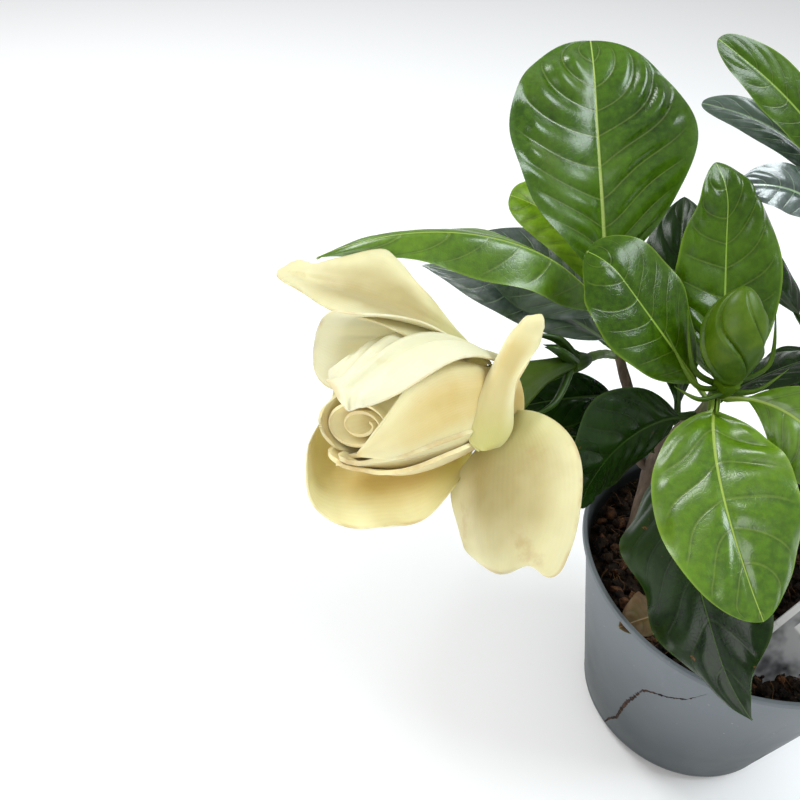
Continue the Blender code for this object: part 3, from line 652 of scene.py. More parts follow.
def cells(tree, scale):
    place = put(tree, "TexCoord").outputs["Object"]
    node = put(tree, "TexVoronoi", feature="DISTANCE_TO_EDGE")
    feed(tree, node.inputs["Vector"], place)
    set_sockets(node, {"Scale": scale})
    return node.outputs["Distance"]


def raise_surface(tree, shader, height, strength, distance):
    node = put(tree, "Bump")
    set_sockets(node, {"Strength": strength, "Distance": distance})
    feed(tree, node.inputs["Height"], height)
    feed(tree, shader.inputs["Normal"], node.outputs["Normal"])


def leaf_finish(name, dark, light, rib, edge, below, gloss=0.3, spots=None, bloom=None, rib_share=0.16,
                shine=0.6, rib_size=0.72):
    """Glossy upper side with pale ribs and margin, dull paler underside."""
    material, tree, shader = new_finish(name)
    across, distance = noted(tree, "across"), noted(tree, "distance")
    along, phase, under = noted(tree, "along"), noted(tree, "phase"), noted(tree, "under")
    cloudy = grain(tree, 26, 3)
    fine = grain(tree, 420, 3)
    colour = blend_colours(tree, between(tree, cloudy, 0.3, 0.72), dark, light)
    # Side ribs: a thin pale line in a valley darkened with painted shade
    off_rib = sums(tree, "ABSOLUTE", sums(tree, "SUBTRACT", phase, sums(tree, "ROUND", phase)))
    inside = between(tree, sums(tree, "ABSOLUTE", across), 0.7, 0.97, 1.0, 0.0)
    valley_shade = times(tree, between(tree, off_rib, 0.03, 0.2, 1.0, 0.0), inside)
    # Painted shade: the valleys beside the side ribs are darkened towards the dark green
    colour = blend_colours(tree, times(tree, valley_shade, 0.45), colour,
                           tuple(channel * 0.45 for channel in dark))
    line = times(tree, between(tree, off_rib, 0.015, 0.05, 1.0, 0.0), inside)
    colour = blend_colours(tree, times(tree, line, rib_share), colour, rib)
    # Middle rib: thick at the foot, fine at the tip
    rib_width = between(tree, along, 0.0, 1.0, rib_size, rib_size * 0.28)
    off_middle = sums(tree, "DIVIDE", sums(tree, "ABSOLUTE", distance), rib_width)
    middle = between(tree, off_middle, 0.35, 0.95, 1.0, 0.0)
    colour = blend_colours(tree, times(tree, middle, 0.9), colour, rib)
    margin = between(tree, sums(tree, "ABSOLUTE", across), 0.93, 1.0)
    colour = blend_colours(tree, times(tree, margin, 0.4), colour, edge)
    if bloom:
        patch = times(tree, between(tree, grain(tree, 38, 2), 0.5, 0.68), 0.6)
        colour = blend_colours(tree, patch, colour, bloom)
    if spots:
        speck = between(tree, grain(tree, 150, 4, 0.7), 0.68, 0.74)
        colour = blend_colours(tree, times(tree, speck, 0.8), colour, spots)
    colour = blend_colours(tree, times(tree, between(tree, fine, 0.3, 0.7), 0.22), colour,
                           tuple(min(channel * 1.9, 1) for channel in light))
    back = blend_colours(tree, times(tree, line, 0.6), below, rib)
    back = blend_colours(tree, middle, back, rib)
    colour = blend_colours(tree, under, colour, back)
    feed(tree, shader.inputs["Base Color"], colour)
    rough = between(tree, cloudy, 0.3, 0.7, gloss - 0.08, gloss + 0.08)
    rough = sums(tree, "ADD", rough, times(tree, under, 0.25))
    feed(tree, shader.inputs["Roughness"], rough)
    set_sockets(shader, {"Specular IOR Level": shine, "Coat Weight": shine * 0.2, "Coat Roughness": 0.22,
                         "Subsurface Weight": 0.08, "Subsurface Radius": (0.3, 1.0, 0.1),
                         "Subsurface Scale": 0.0015})
    net = between(tree, cells(tree, 620), 0.0, 0.12)
    height = sums(tree, "ADD", times(tree, net, 0.35), times(tree, fine, 0.8))
    height = sums(tree, "SUBTRACT", height, times(tree, line, 1.2))
    raise_surface(tree, shader, height, 0.22, 0.0002)
    return material


def petal_finish(name, pale, deep, foot, bruise, bruise_share):
    """Soft waxy petal: pale margin, deeper centre and foot, faint lines along it and tan bruises."""
    material, tree, shader = new_finish(name)
    across, along = noted(tree, "across"), noted(tree, "along")
    cloudy = grain(tree, 42, 3)
    centre = between(tree, sums(tree, "ABSOLUTE", across), 0.3, 0.95, 1.0, 0.1)
    centre = times(tree, centre, between(tree, along, 0.6, 0.98, 1.0, 0.2))
    centre = sums(tree, "ADD", centre, between(tree, cloudy, 0.3, 0.7, -0.25, 0.25))
    colour = blend_colours(tree, centre, pale, deep)
    colour = blend_colours(tree, between(tree, along, 0.0, 0.42, 0.75, 0.0), colour, foot)
    lines = put(tree, "TexWave", wave_type="BANDS", bands_direction="X")
    joined = put(tree, "CombineXYZ")
    wander = times(tree, cloudy, 0.12)
    feed(tree, joined.inputs[0], sums(tree, "ADD", across, wander))
    feed(tree, joined.inputs[1], along)
    feed(tree, lines.inputs["Vector"], joined.outputs[0])
    set_sockets(lines, {"Scale": 5.0, "Distortion": 2.0, "Detail": 2.0})
    faint = times(tree, lines.outputs["Fac"], 0.06)
    colour = blend_colours(tree, faint, colour, foot)
    brown = times(tree, between(tree, grain(tree, 70, 5, 0.62), 0.6, 0.74), bruise_share)
    colour = blend_colours(tree, brown, colour, bruise)
    edge = sums(tree, "MAXIMUM", between(tree, sums(tree, "ABSOLUTE", across), 0.95, 1.0),
                between(tree, along, 0.965, 1.0))
    edge = times(tree, edge, between(tree, grain(tree, 90, 3), 0.4, 0.65))
    colour = blend_colours(tree, times(tree, edge, 0.6), colour, bruise)
    feed(tree, shader.inputs["Base Color"], colour)
    feed(tree, shader.inputs["Roughness"], between(tree, cloudy, 0.3, 0.7, 0.45, 0.62))
    set_sockets(shader, {"Specular IOR Level": 0.35, "Subsurface Weight": 0.35,
                         "Subsurface Radius": (1.0, 0.75, 0.4), "Subsurface Scale": 0.003,
                         "Sheen Weight": 0.15, "Sheen Roughness": 0.4})
    height = sums(tree, "ADD", lines.outputs["Fac"], times(tree, grain(tree, 700, 2), 0.8))
    raise_surface(tree, shader, height, 0.1, 0.0002)
    return material


def bark_finish(name, old, young, green_from):
    material, tree, shader = new_finish(name)
    streaks = grain(tree, 260, 5, 0.6, (1, 1, 0.25))
    colour = blend_colours(tree, between(tree, streaks, 0.35, 0.65), old,
                           tuple(channel * 0.45 for channel in old))
    greening = between(tree, noted(tree, "along"), green_from, green_from + 0.3)
    fresh = blend_colours(tree, between(tree, streaks, 0.4, 0.7), young,
                          tuple(channel * 0.6 for channel in young))
    colour = blend_colours(tree, greening, colour, fresh)
    feed(tree, shader.inputs["Base Color"], colour)
    feed(tree, shader.inputs["Roughness"], between(tree, greening, 0, 1, 0.85, 0.5))
    raise_surface(tree, shader, streaks, 0.7, 0.0006)
    return material


def pot_finish():
    material, tree, shader = new_finish("nursery pot plastic")
    cloudy = grain(tree, 30, 4)
    fine = grain(tree, 900, 2)
    scuffs = between(tree, grain(tree, 60, 6, 0.7, (1, 1, 0.12)), 0.62, 0.72)
    specks = between(tree, grain(tree, 480, 2, 0.5), 0.745, 0.77)
    colour = blend_colours(tree, between(tree, cloudy, 0.35, 0.7), (0.125, 0.142, 0.156), (0.16, 0.18, 0.196))
    colour = blend_colours(tree, times(tree, scuffs, 0.35), colour, (0.3, 0.31, 0.32))
    colour = blend_colours(tree, times(tree, specks, 0.7), colour, (0.5, 0.46, 0.4))
    # Painted shade: the wall darkens towards the bottom
    height = put(tree, "SeparateXYZ")
    feed(tree, height.inputs[0], put(tree, "TexCoord").outputs["Object"])
    bottom_shade = between(tree, height.outputs[2], 0.01, 0.11, 0.95, 0.0)
    colour = blend_colours(tree, bottom_shade, colour, (0.04, 0.05, 0.054))
    # Painted shade: the inner wall is painted near black for the shade inside the pot
    colour = blend_colours(tree, noted(tree, "inside"), colour, (0.012, 0.013, 0.014))
    feed(tree, shader.inputs["Base Color"], colour)
    rough = sums(tree, "ADD", between(tree, cloudy, 0.3, 0.7, 0.36, 0.5), times(tree, scuffs, 0.15))
    feed(tree, shader.inputs["Roughness"], rough)
    set_sockets(shader, {"Specular IOR Level": 0.2})
    raise_surface(tree, shader, sums(tree, "ADD", fine, times(tree, scuffs, 0.5)), 0.12, 0.0002)
    return material


def soil_finish(name, dark, brown, bright):
    material, tree, shader = new_finish(name)
    coarse, fine = grain(tree, 240, 6, 0.7), grain(tree, 900, 4, 0.7)
    colour = blend_colours(tree, between(tree, coarse, 0.4, 0.62), dark, brown)
    colour = blend_colours(tree, times(tree, between(tree, fine, 0.58, 0.72), 0.7), colour, bright)
    feed(tree, shader.inputs["Base Color"], colour)
    set_sockets(shader, {"Roughness": 0.92, "Specular IOR Level": 0.25})
    raise_surface(tree, shader, sums(tree, "ADD", coarse, fine), 0.9, 0.0012)
    return material


def green_flesh_finish(name, foot, tip, patch):
    """Calyx, tube and bud: smooth young tissue, lighter towards the tip, with cloudy patches."""
    material, tree, shader = new_finish(name)
    along = noted(tree, "along")
    cloudy = grain(tree, 110, 4, 0.6)
    colour = blend_colours(tree, between(tree, along, 0.0, 1.0), foot, tip)
    colour = blend_colours(tree, times(tree, between(tree, cloudy, 0.42, 0.68), 0.6), colour, patch)
    feed(tree, shader.inputs["Base Color"], colour)
    feed(tree, shader.inputs["Roughness"], between(tree, cloudy, 0.3, 0.7, 0.32, 0.52))
    set_sockets(shader, {"Specular IOR Level": 0.28, "Subsurface Weight": 0.15,
                         "Subsurface Radius": (0.6, 1.0, 0.2), "Subsurface Scale": 0.0015})
    raise_surface(tree, shader, grain(tree, 500, 3), 0.2, 0.0003)
    return material


def label_finish():
    """White slip with a soft grey printed panel and a white window in it."""
    material, tree, shader = new_finish("label plastic")
    across, along = noted(tree, "across"), noted(tree, "along")
    print_area = times(tree, between(tree, sums(tree, "ABSOLUTE", across), 0.78, 0.81, 1.0, 0.0),
                      between(tree, along, 0.03, 0.05))
    print_area = times(tree, print_area, between(tree, along, 0.93, 0.95, 1.0, 0.0))
    soft = grain(tree, 70, 3)
    picture = blend_colours(tree, between(tree, soft, 0.38, 0.62), (0.06, 0.06, 0.065), (0.42, 0.42, 0.43))
    window = times(tree, between(tree, along, 0.6, 0.62), between(tree, along, 0.74, 0.76, 1.0, 0.0))
    window = times(tree, window, between(tree, sums(tree, "ABSOLUTE", across), 0.5, 0.53, 1.0, 0.0))
    picture = blend_colours(tree, window, picture, (0.8, 0.8, 0.79))
    colour = blend_colours(tree, print_area, (0.82, 0.82, 0.81), picture)
    dirt = between(tree, grain(tree, 160, 5, 0.7), 0.6, 0.75, 0.0, 0.4)
    colour = blend_colours(tree, dirt, colour, (0.16, 0.11, 0.07))
    feed(tree, shader.inputs["Base Color"], colour)
    feed(tree, shader.inputs["Roughness"], between(tree, soft, 0.3, 0.7, 0.25, 0.4))
    set_sockets(shader, {"Coat Weight": 0.3})
    raise_surface(tree, shader, grain(tree, 400, 2), 0.05, 0.0002)
    return material


# ---------------------------------------------------------------- pot, soil and label

POT_HEIGHT = 105.0
RIM_RADIUS = 65.5
BASE_RADIUS = 45.0
WALL = 1.1
LIP_WIDTH = 1.2
LIP_HEIGHT = 5.0
CORNER_RADIUS = 7.0
FLOOR_THICKNESS = 1.4
SOIL_TOP = 92.0
POT_SIDES = 144
DRAIN_HOLES = 6
DRAIN_RADIUS = 3.5
DRAIN_RING = 30.0
# The crack's places: heading in degrees, height in mm
CRACK = ((-149.5, 6.0), (-147.0, 14.0), (-142.5, 23.0), (-141.0, 35.0), (-139.0, 47.0), (-136.5, 57.0),
         (-134.5, 67.0), (-130.5, 72.0), (-125.5, 76.0), (-119.5, 83.0), (-115.5, 95.0))
CRACK_STEPS = 80
SOIL_GRID = (110, 260)
TOP_SHARE = 0.8


def wall_radius(height):
    share = (height - CORNER_RADIUS) / (POT_HEIGHT - CORNER_RADIUS)
    return BASE_RADIUS + (RIM_RADIUS - LIP_WIDTH - BASE_RADIUS) * share


def grow_ring(radius, height, was):
    """Draw the selected end face on to a new radius and height."""
    bpy.ops.mesh.extrude_region_move(TRANSFORM_OT_translate={"value": (0, 0, (height - was[1]) * MM)})
    bpy.ops.transform.resize(value=(radius / was[0], radius / was[0], 1))
    return radius, height


def build_pot():
    put_down_all()
    start = BASE_RADIUS - CORNER_RADIUS
    bpy.ops.mesh.primitive_cylinder_add(vertices=POT_SIDES, radius=start * MM, depth=0.2 * MM,
                                        location=(0, 0, 0.1 * MM), end_fill_type="NGON")
    pot = bpy.context.object
    pot.name = "pot_shell"
    bpy.ops.object.transform_apply(location=True, rotation=True, scale=True)
    bpy.ops.object.mode_set(mode="EDIT")
    bpy.ops.mesh.select_all(action="DESELECT")
    shape = bmesh.from_edit_mesh(pot.data)
    for face in shape.faces:
        face.select_set(len(face.verts) > 4 and face.normal.z > 0.5)
    bmesh.update_edit_mesh(pot.data)
    now = (start, 0.2)
    for turn in (12, 24, 36, 48, 60, 72, 81, 90):
        angle = math.radians(turn)
        now = grow_ring(start + CORNER_RADIUS * math.sin(angle),
                        CORNER_RADIUS * (1 - math.cos(angle)) + 0.2, now)
    # A shallow stacking step, then the plain wall up to the lip
    now = grow_ring(BASE_RADIUS + 0.35, 9.0, now)
    low = POT_HEIGHT - LIP_HEIGHT
    for height in np.linspace(12, low, 26):
        now = grow_ring(wall_radius(height), height, now)
    for radius, height in ((wall_radius(low + 2) + 0.1, low + 2), (RIM_RADIUS - 0.35, low + 2.6),
                           (RIM_RADIUS, low + 3.0), (RIM_RADIUS, POT_HEIGHT - 0.4),
                           (RIM_RADIUS - 0.2, POT_HEIGHT - 0.05), (RIM_RADIUS - 0.6, POT_HEIGHT)):
        now = grow_ring(radius, height, now)
    inner_lip = RIM_RADIUS - LIP_WIDTH - WALL + 0.4
    for radius, height in ((inner_lip + 0.5, POT_HEIGHT), (inner_lip, POT_HEIGHT - 0.5),
                           (inner_lip - 0.1, low)):
        now = grow_ring(radius, height, now)
    for height in np.linspace(low - 4, 14, 18):
        now = grow_ring(wall_radius(height) - WALL, height, now)
    for turn in (90, 70, 50, 30, 10):
        angle = math.radians(turn)
        inner_corner = CORNER_RADIUS - WALL
        now = grow_ring(start + inner_corner * math.sin(angle),
                        CORNER_RADIUS - inner_corner * math.cos(angle) + FLOOR_THICKNESS - WALL, now)
    bpy.ops.object.mode_set(mode="OBJECT")
    return pot


def cut_with(piece, cutter):
    pick_up(piece)
    cut = piece.modifiers.new("cut", "BOOLEAN")
    cut.operation = "DIFFERENCE"
    cut.solver = "EXACT"
    cut.object = cutter
    bpy.ops.object.modifier_apply(modifier=cut.name)
    bpy.data.objects.remove(cutter, do_unlink=True)


def finish_pot(pot):
    for number in range(DRAIN_HOLES):
        turn = math.tau * number / DRAIN_HOLES
        place = (DRAIN_RING * MM * math.cos(turn), DRAIN_RING * MM * math.sin(turn), 0)
        put_down_all()
        bpy.ops.mesh.primitive_cylinder_add(vertices=24, radius=DRAIN_RADIUS * MM, depth=6 * MM,
                                            location=place)
        cut_with(pot, bpy.context.object)
    # A jagged crack runs up the front left of the wall
    cut_with(pot, crack_cutter())
    points = read_points(pot.data) / MM
    turn = np.arctan2(points[:, 1], points[:, 0])
    height = np.clip(points[:, 2] / POT_HEIGHT, 0, 1)
    radius = np.hypot(points[:, 0], points[:, 1])
    sag = 0.55 * np.sin(2 * turn + 0.8) + 0.4 * np.sin(3 * turn + 2.2) + 0.25 * np.sin(5 * turn)
    push = sag * height ** 1.5 * smooth_step(20, 45, radius)
    points[:, 0] *= 1 + push / np.maximum(radius, 1)
    points[:, 1] *= 1 + push / np.maximum(radius, 1)
    write_points(pot.data, points * MM)
    # Mark the inner wall, which the plastic paints near black as painted shade
    inner_wall_limit = wall_radius(np.clip(points[:, 2], CORNER_RADIUS, POT_HEIGHT)) - WALL * 0.6 + push
    note_on_points(pot.data, "inside", ((radius + push < inner_wall_limit) & (points[:, 2] > 1.0)).astype(float))
    smooth_faces(pot, 40)
    return pot


def crack_places(count):
    """Headings in degrees and heights in mm at even steps along the crack."""
    steps = np.linspace(0, len(CRACK) - 1, count)
    headings, heights = np.array(CRACK).T
    return np.interp(steps, range(len(CRACK)), headings), np.interp(steps, range(len(CRACK)), heights)


def crack_cutter():
    """A thin crooked wedge that cuts the crack through the wall."""
    draw = np.random.default_rng(11)
    turns, heights = crack_places(CRACK_STEPS + 1)
    heights = heights + np.convolve(draw.normal(0, 0.5, CRACK_STEPS + 3), (0.25, 0.5, 0.25), mode="valid")
    sheet, share, across = new_sheet("crack", CRACK_STEPS, 1)
    number = np.rint(share * CRACK_STEPS).astype(int)
    half = 0.5 + 0.45 * np.abs(np.sin(number * 0.7)) + 0.15 * np.sin(number * 1.9)
    half = half * np.sin(np.pi * (0.02 + 0.96 * share)) ** 0.5
    height = heights[number] + across * np.maximum(half, 0.06)
    angle = np.radians(turns[number])
    radius = np.full_like(angle, 70.0)
    write_points(sheet.data, np.stack([radius * np.cos(angle), radius * np.sin(angle), height], -1) * MM)
    pick_up(sheet)
    bpy.ops.object.mode_set(mode="EDIT")
    bpy.ops.mesh.select_all(action="SELECT")
    bpy.ops.mesh.extrude_region_move()
    bpy.ops.transform.resize(value=(0.54, 0.54, 1), center_override=(0, 0, 0))
    face_outward()
    return sheet


def crack_filling():
    """Dry brown crumbs of potting mix caught all along the crack."""
    draw = np.random.default_rng(12)
    route = []
    for share, heading, height in zip(np.linspace(0, 1, 121), *crack_places(121)):
        turn, height = math.radians(heading), height + draw.normal(0, 0.25)
        radius = wall_radius(max(height, CORNER_RADIUS)) - 0.35
        thick = 0.35 + 0.7 * math.sin(math.pi * (0.05 + 0.8 * share)) * draw.uniform(0.5, 1.3)
        route.append((radius * math.cos(turn), radius * math.sin(turn), height, thick))
    return roll_tube("crack_crumbs", np.array(route), 10)


def build_soil():
    """A lumpy top on a plug of potting mix that fills the pot."""
    sheet, share, across = new_sheet("soil_plug", *SOIL_GRID)
    turn = np.pi * (across + 1)
    rim = wall_radius(SOIL_TOP) - WALL - 0.2
    depth_share = np.clip((share - TOP_SHARE) / (1 - TOP_SHARE), 0, 1)
    height = SOIL_TOP - 1.0 - depth_share * (SOIL_TOP - 4)
    side = np.interp(height, [3, 12, SOIL_TOP - 1], [BASE_RADIUS - 6, wall_radius(12) - WALL - 0.2, rim])
    radius = np.where(share < TOP_SHARE, rim * share / TOP_SHARE, side)
    points = np.stack([radius * np.cos(turn), radius * np.sin(turn), height], -1)
    for index in np.nonzero(share < TOP_SHARE)[0]:
        x, y, _ = points[index]
        spot = Vector((x, y, 3.0))
        lump = noise.noise(spot * 0.09) * 2.4 + noise.noise(spot * 0.28) * 1.5
        lump += abs(noise.noise(spot * 0.7)) * 1.5
        fade = 1 - max((radius[index] - rim + 3) / 3, 0)
        points[index, 2] += (lump - 0.8) * fade
    write_points(sheet.data, points * MM)
    close_skin(sheet, 0.002 * MM)
    return sheet


def scatter(name, shape, count, seed, size, squash, height_span):
    """Copies of one small shape strewn over the soil, joined into one piece."""
    draw = np.random.default_rng(seed)
    pattern = read_points(shape.data)
    faces = [tuple(face.vertices) for face in shape.data.polygons]
    limit = wall_radius(SOIL_TOP) - WALL - 2.5
    all_points, all_faces = [], []
    for _ in range(count):
        radius = limit * math.sqrt(draw.uniform(0, 1))
        turn = draw.uniform(0, math.tau)
        scale = draw.uniform(*size)
        turned = Matrix.Rotation(draw.uniform(0, math.tau), 3, "Z")
        turned = turned @ Matrix.Rotation(draw.uniform(-0.7, 0.7), 3, "X")
        bits = pattern * (scale, scale * draw.uniform(*squash), scale * draw.uniform(*squash))
        bits = bits @ np.array(turned).T
        base = len(pattern) * len(all_points)
        height = SOIL_TOP + draw.uniform(*height_span)
        all_points.append(bits + (radius * math.cos(turn), radius * math.sin(turn), height))
        all_faces += [tuple(corner + base for corner in face) for face in faces]
    mesh = bpy.data.meshes.new(name)
    mesh.from_pydata((np.vstack(all_points) * MM).tolist(), [], all_faces)
    mesh.update()
    strewn = bpy.data.objects.new(name, mesh)
    bpy.context.scene.collection.objects.link(strewn)
    bpy.data.objects.remove(shape, do_unlink=True)
    return strewn


def crumb_shape():
    put_down_all()
    bpy.ops.mesh.primitive_ico_sphere_add(subdivisions=1, radius=1)
    crumb = bpy.context.object
    points = read_points(crumb.data)
    draw = np.random.default_rng(5)
    write_points(crumb.data, points * draw.uniform(0.65, 1.3, (len(points), 1)))
    return crumb


FIBRE_ROUTE = ((-4, 0, 0, 0.12), (-2, 0.5, 0.3, 0.17), (0, 0.4, 0.7, 0.18), (2, -0.3, 0.5, 0.16),
               (4, -0.4, 0, 0.1))


def fibre_shape():
    """A thin bent fibre of coir."""
    fibre = roll_tube("fibre", np.array(FIBRE_ROUTE), 5)
    write_points(fibre.data, read_points(fibre.data) / MM)
    return fibre


LABEL_CORNER = (-24.0, -49.0, 92.0)
LABEL_FOOT = 38.0
LABEL_LONG = 58.0
LABEL_THICKNESS = 0.5
LABEL_ROUNDING = 4.0
LABEL_GRID = (40, 16)


def build_label():
    """A slip with rounded corners standing slantwise in the soil."""
    across_soil = Vector((1.0, 0.05, 0.0)).normalized()
    up = Vector((-0.05, 0.5, 0.86)).normalized()
    slant = (across_soil + up).normalized()
    width_way = (across_soil - up).normalized()
    sheet, share, across = new_sheet("label_slip", *LABEL_GRID)
    wide = LABEL_FOOT * math.sqrt(0.5)
    foot = wide * (1 - across) / 2 - 3
    reach = foot + share * (LABEL_LONG - foot)
    beyond = np.maximum(reach - (LABEL_LONG - LABEL_ROUNDING), 0)
    half = wide / 2 - LABEL_ROUNDING + np.sqrt(np.maximum(LABEL_ROUNDING ** 2 - beyond ** 2, 0))
    middle = np.array(LABEL_CORNER) + np.array(width_way) * wide / 2
    bow = 0.8 * np.sin(np.pi * share)[:, None] * np.array(across_soil.cross(up))
    points = middle + reach[:, None] * np.array(slant) + (across * half)[:, None] * -np.array(width_way) - bow
    return finish_sheet(sheet, points, reach / LABEL_LONG, across, LABEL_THICKNESS, 40)


# ---------------------------------------------------------------- bud, tube and calyces

def bud_shape(share, turn):
    """Petals wound round the bud: each overlaps the next with a soft step."""
    wound = (turn / math.tau * 5 + share * 2.1 + 0.1 * np.sin(3 * turn)) % 1.0
    step = wound ** 1.5 * 0.13 * (1 - smooth_step(0.9, 1.0, wound)) - 0.05
    crease = -0.07 * np.exp(-(wound / 0.07) ** 2)
    return 1 + (step + crease) * np.sin(np.pi * np.clip(share * 0.96 + 0.03, 0, 1)) ** 0.6


def build_bud():
    foot, tip = np.array(BUD_FOOT), np.array(BUD_TIP)
    route = []
    for share in np.linspace(0, 1, 91):
        radius = BUD_RADIUS * math.sin(math.pi * (0.06 + 0.93 * share)) ** 0.6 + 0.1
        bend = np.array((-1.2, 0.6, 0)) * math.sin(math.pi * share) * 0.8
        route.append((*(foot + (tip - foot) * share + bend), radius))
    return roll_tube("bud_petals", np.array(route), 180, bud_shape)


def calyx_lobe(name, start, elbow, tip, wide):
    """A narrow pointed lobe through three places, mm."""
    route = smooth_route([(*start, wide), (*elbow, wide * 0.75), (*tip, 0.12)], 10)
    return roll_tube(name, route, 12, lambda share, turn: 0.45 + 0.55 * np.abs(np.cos(turn)))


def ribbed(share, turn):
    return 1 + 0.09 * np.cos(6 * turn) * share


def fluted(share, turn):
    return 1 + 0.05 * np.cos(6 * turn + 3 * share)


def knotty(share, turn):
    return 1 + 0.05 * np.sin(3 * turn + 9 * share) + 0.04 * np.sin(40 * share)


def build_calyx(name, cup, lobes, wide):
    """A ribbed cup with its lobes, in one piece."""
    piece = roll_tube(name, smooth_route(cup, 8), 60, ribbed)
    pieces = [calyx_lobe(f"{name}_lobe_{number}", *places, wide) for number, places in enumerate(lobes)]
    pick_up(piece, *pieces)
    bpy.ops.object.join()
    return piece


# ---------------------------------------------------------------- putting it together

LEAF_SEED, OUTER_PETAL_SEED, WRAPPED_PETAL_SEED = 100, 300, 400
leaf_finishes = {
    "bright": leaf_finish("bright green leaf", (0.022, 0.058, 0.001), (0.056, 0.125, 0.001),
                          (0.28, 0.42, 0.06), (0.24, 0.36, 0.03), (0.17, 0.27, 0.04), 0.25, shine=0.3),
    "sunny": leaf_finish("light green leaf", (0.04, 0.105, 0.001), (0.095, 0.19, 0.001), (0.34, 0.45, 0.08),
                         (0.26, 0.38, 0.04), (0.2, 0.3, 0.04), 0.31),
    "round": leaf_finish("broad quilted leaf", (0.022, 0.06, 0.002), (0.062, 0.14, 0.003), (0.42, 0.52, 0.14),
                         (0.09, 0.15, 0.05), (0.16, 0.27, 0.05), 0.26, bloom=(0.08, 0.13, 0.015),
                         shine=0.4, rib_size=1.2),
    # Dark: the deep green of old leaves, darkened further as painted shade for leaves lying in shadow behind
    # and under others
    "dark": leaf_finish("old dark leaf with painted shade", (0.002, 0.009, 0.001), (0.01, 0.03, 0.002), (0.05, 0.09, 0.02),
                        (0.05, 0.075, 0.015), (0.05, 0.1, 0.03), 0.26, spots=(0.2, 0.07, 0.02), shine=0.2),
    # Slate: a green leaf whose bluish grey base colour is painted sheen, standing in for the reflection on
    # these leaves
    "slate": leaf_finish("grey-green leaf with painted sheen", (0.032, 0.054, 0.046), (0.085, 0.12, 0.1), (0.28, 0.4, 0.22),
                         (0.08, 0.1, 0.06), (0.08, 0.12, 0.06), rib_share=0.4, shine=1.0, rib_size=0.9),
    "pale": leaf_finish("young pale leaf", (0.14, 0.27, 0.006), (0.26, 0.42, 0.015), (0.45, 0.56, 0.12),
                        (0.4, 0.5, 0.08), (0.3, 0.42, 0.08), 0.34),
    "dry": leaf_finish("dying leaf", (0.05, 0.09, 0.006), (0.12, 0.055, 0.02), (0.3, 0.2, 0.1),
                       (0.12, 0.06, 0.02), (0.1, 0.07, 0.02), 0.6, spots=(0.08, 0.03, 0.01)),
}
# Every leaf not named here is bright
LEAVES_BY_LOOK = {
    "round": ("leaf_round",),
    "slate": ("leaf_slate", "leaf_slate_back", "leaf_far_grey", "leaf_far_brown"),
    # The dark finish: old leaves, and leaves in painted shade
    "dark": ("leaf_over_rim", "leaf_low_left", "leaf_dark_back", "leaf_under_flower", "leaf_under_flower_low",
             "leaf_back_shade", "leaf_right_grey", "leaf_back_low"),
    "pale": ("leaf_pale", "leaf_far_new", "leaf_side_inner"),
    "dry": ("leaf_curled",),
    "sunny": ("leaf_front", "leaf_arching", "leaf_right"),
}
leaf_look = {name: look for look, names in LEAVES_BY_LOOK.items() for name in names}
petal_finishes = {
    "cream": petal_finish("cream petal", (0.8, 0.73, 0.43), (0.62, 0.49, 0.21), (0.55, 0.54, 0.18),
                          (0.5, 0.32, 0.12), 0.4),
    "beige": petal_finish("beige petal", (0.68, 0.63, 0.38), (0.4, 0.34, 0.155), (0.5, 0.5, 0.2),
                          (0.42, 0.28, 0.12), 0.4),
    "ivory": petal_finish("ivory petal", (0.78, 0.75, 0.53), (0.72, 0.68, 0.44), (0.7, 0.63, 0.32),
                          (0.55, 0.38, 0.16), 0.2),
    "peach": petal_finish("peach petal", (0.94, 0.85, 0.5), (0.95, 0.74, 0.34), (0.8, 0.5, 0.16),
                          (0.8, 0.62, 0.34), 0.3),
    "golden": petal_finish("golden petal", (0.88, 0.78, 0.44), (0.7, 0.51, 0.19), (0.52, 0.36, 0.1),
                           (0.5, 0.3, 0.1), 0.3),
}
# Every petal not named here is cream
petal_look = {"petal_top_left": "beige", "petal_right_down": "beige", "petal_far_left": "ivory",
              "petal_inner_top": "ivory", "petal_rim_low": "golden", "petal_inner_front": "golden"}
woody = bark_finish("grey-brown bark", (0.16, 0.11, 0.075), (0.13, 0.2, 0.05), 0.72)
green_stalk = bark_finish("green stalk", (0.12, 0.18, 0.05), (0.16, 0.26, 0.06), 0.0)
pot_plastic = pot_finish()
potting_mix = soil_finish("potting mix", (0.004, 0.003, 0.002), (0.03, 0.015, 0.008), (0.2, 0.09, 0.035))
coir = soil_finish("coir fibre", (0.06, 0.028, 0.012), (0.16, 0.075, 0.03), (0.28, 0.15, 0.06))
bark_chips = soil_finish("bark chips", (0.03, 0.012, 0.006), (0.14, 0.06, 0.025), (0.4, 0.22, 0.1))
crack_dirt = soil_finish("dirt in the crack", (0.012, 0.008, 0.006), (0.06, 0.03, 0.02), (0.16, 0.09, 0.05))
bud_flesh = green_flesh_finish("bud green", (0.028, 0.07, 0.001), (0.06, 0.12, 0.001), (0.1, 0.17, 0.004))
tube_flesh = green_flesh_finish("tube green", (0.013, 0.036, 0.001), (0.045, 0.075, 0.001),
                                (0.045, 0.08, 0.002))
calyx_flesh = green_flesh_finish("calyx green", (0.012, 0.035, 0.001), (0.02, 0.055, 0.002),
                                 (0.05, 0.1, 0.006))

for number, (name, row) in enumerate(LEAVES.items()):
    leaf = grow_leaf(name, row, LEAF_SEED + number)
    hand_over(leaf, name, leaf_finishes[leaf_look.get(name, "bright")])

for grow, rows, seed in ((grow_petal, PETALS, OUTER_PETAL_SEED), (wrap_petal, WRAPPED, WRAPPED_PETAL_SEED)):
    for number, (name, row) in enumerate(rows.items()):
        hand_over(grow(name, row, seed + number), name, petal_finishes[petal_look.get(name, "cream")])
hand_over(roll_scroll(), "petal_scroll", petal_finishes["peach"])

for name, points in STEMS.items():
    branch = roll_tube(name + "_branch", smooth_route(points, 14), 28, knotty)
    hand_over(branch, name, green_stalk if name == "flower_stalk" else woody)

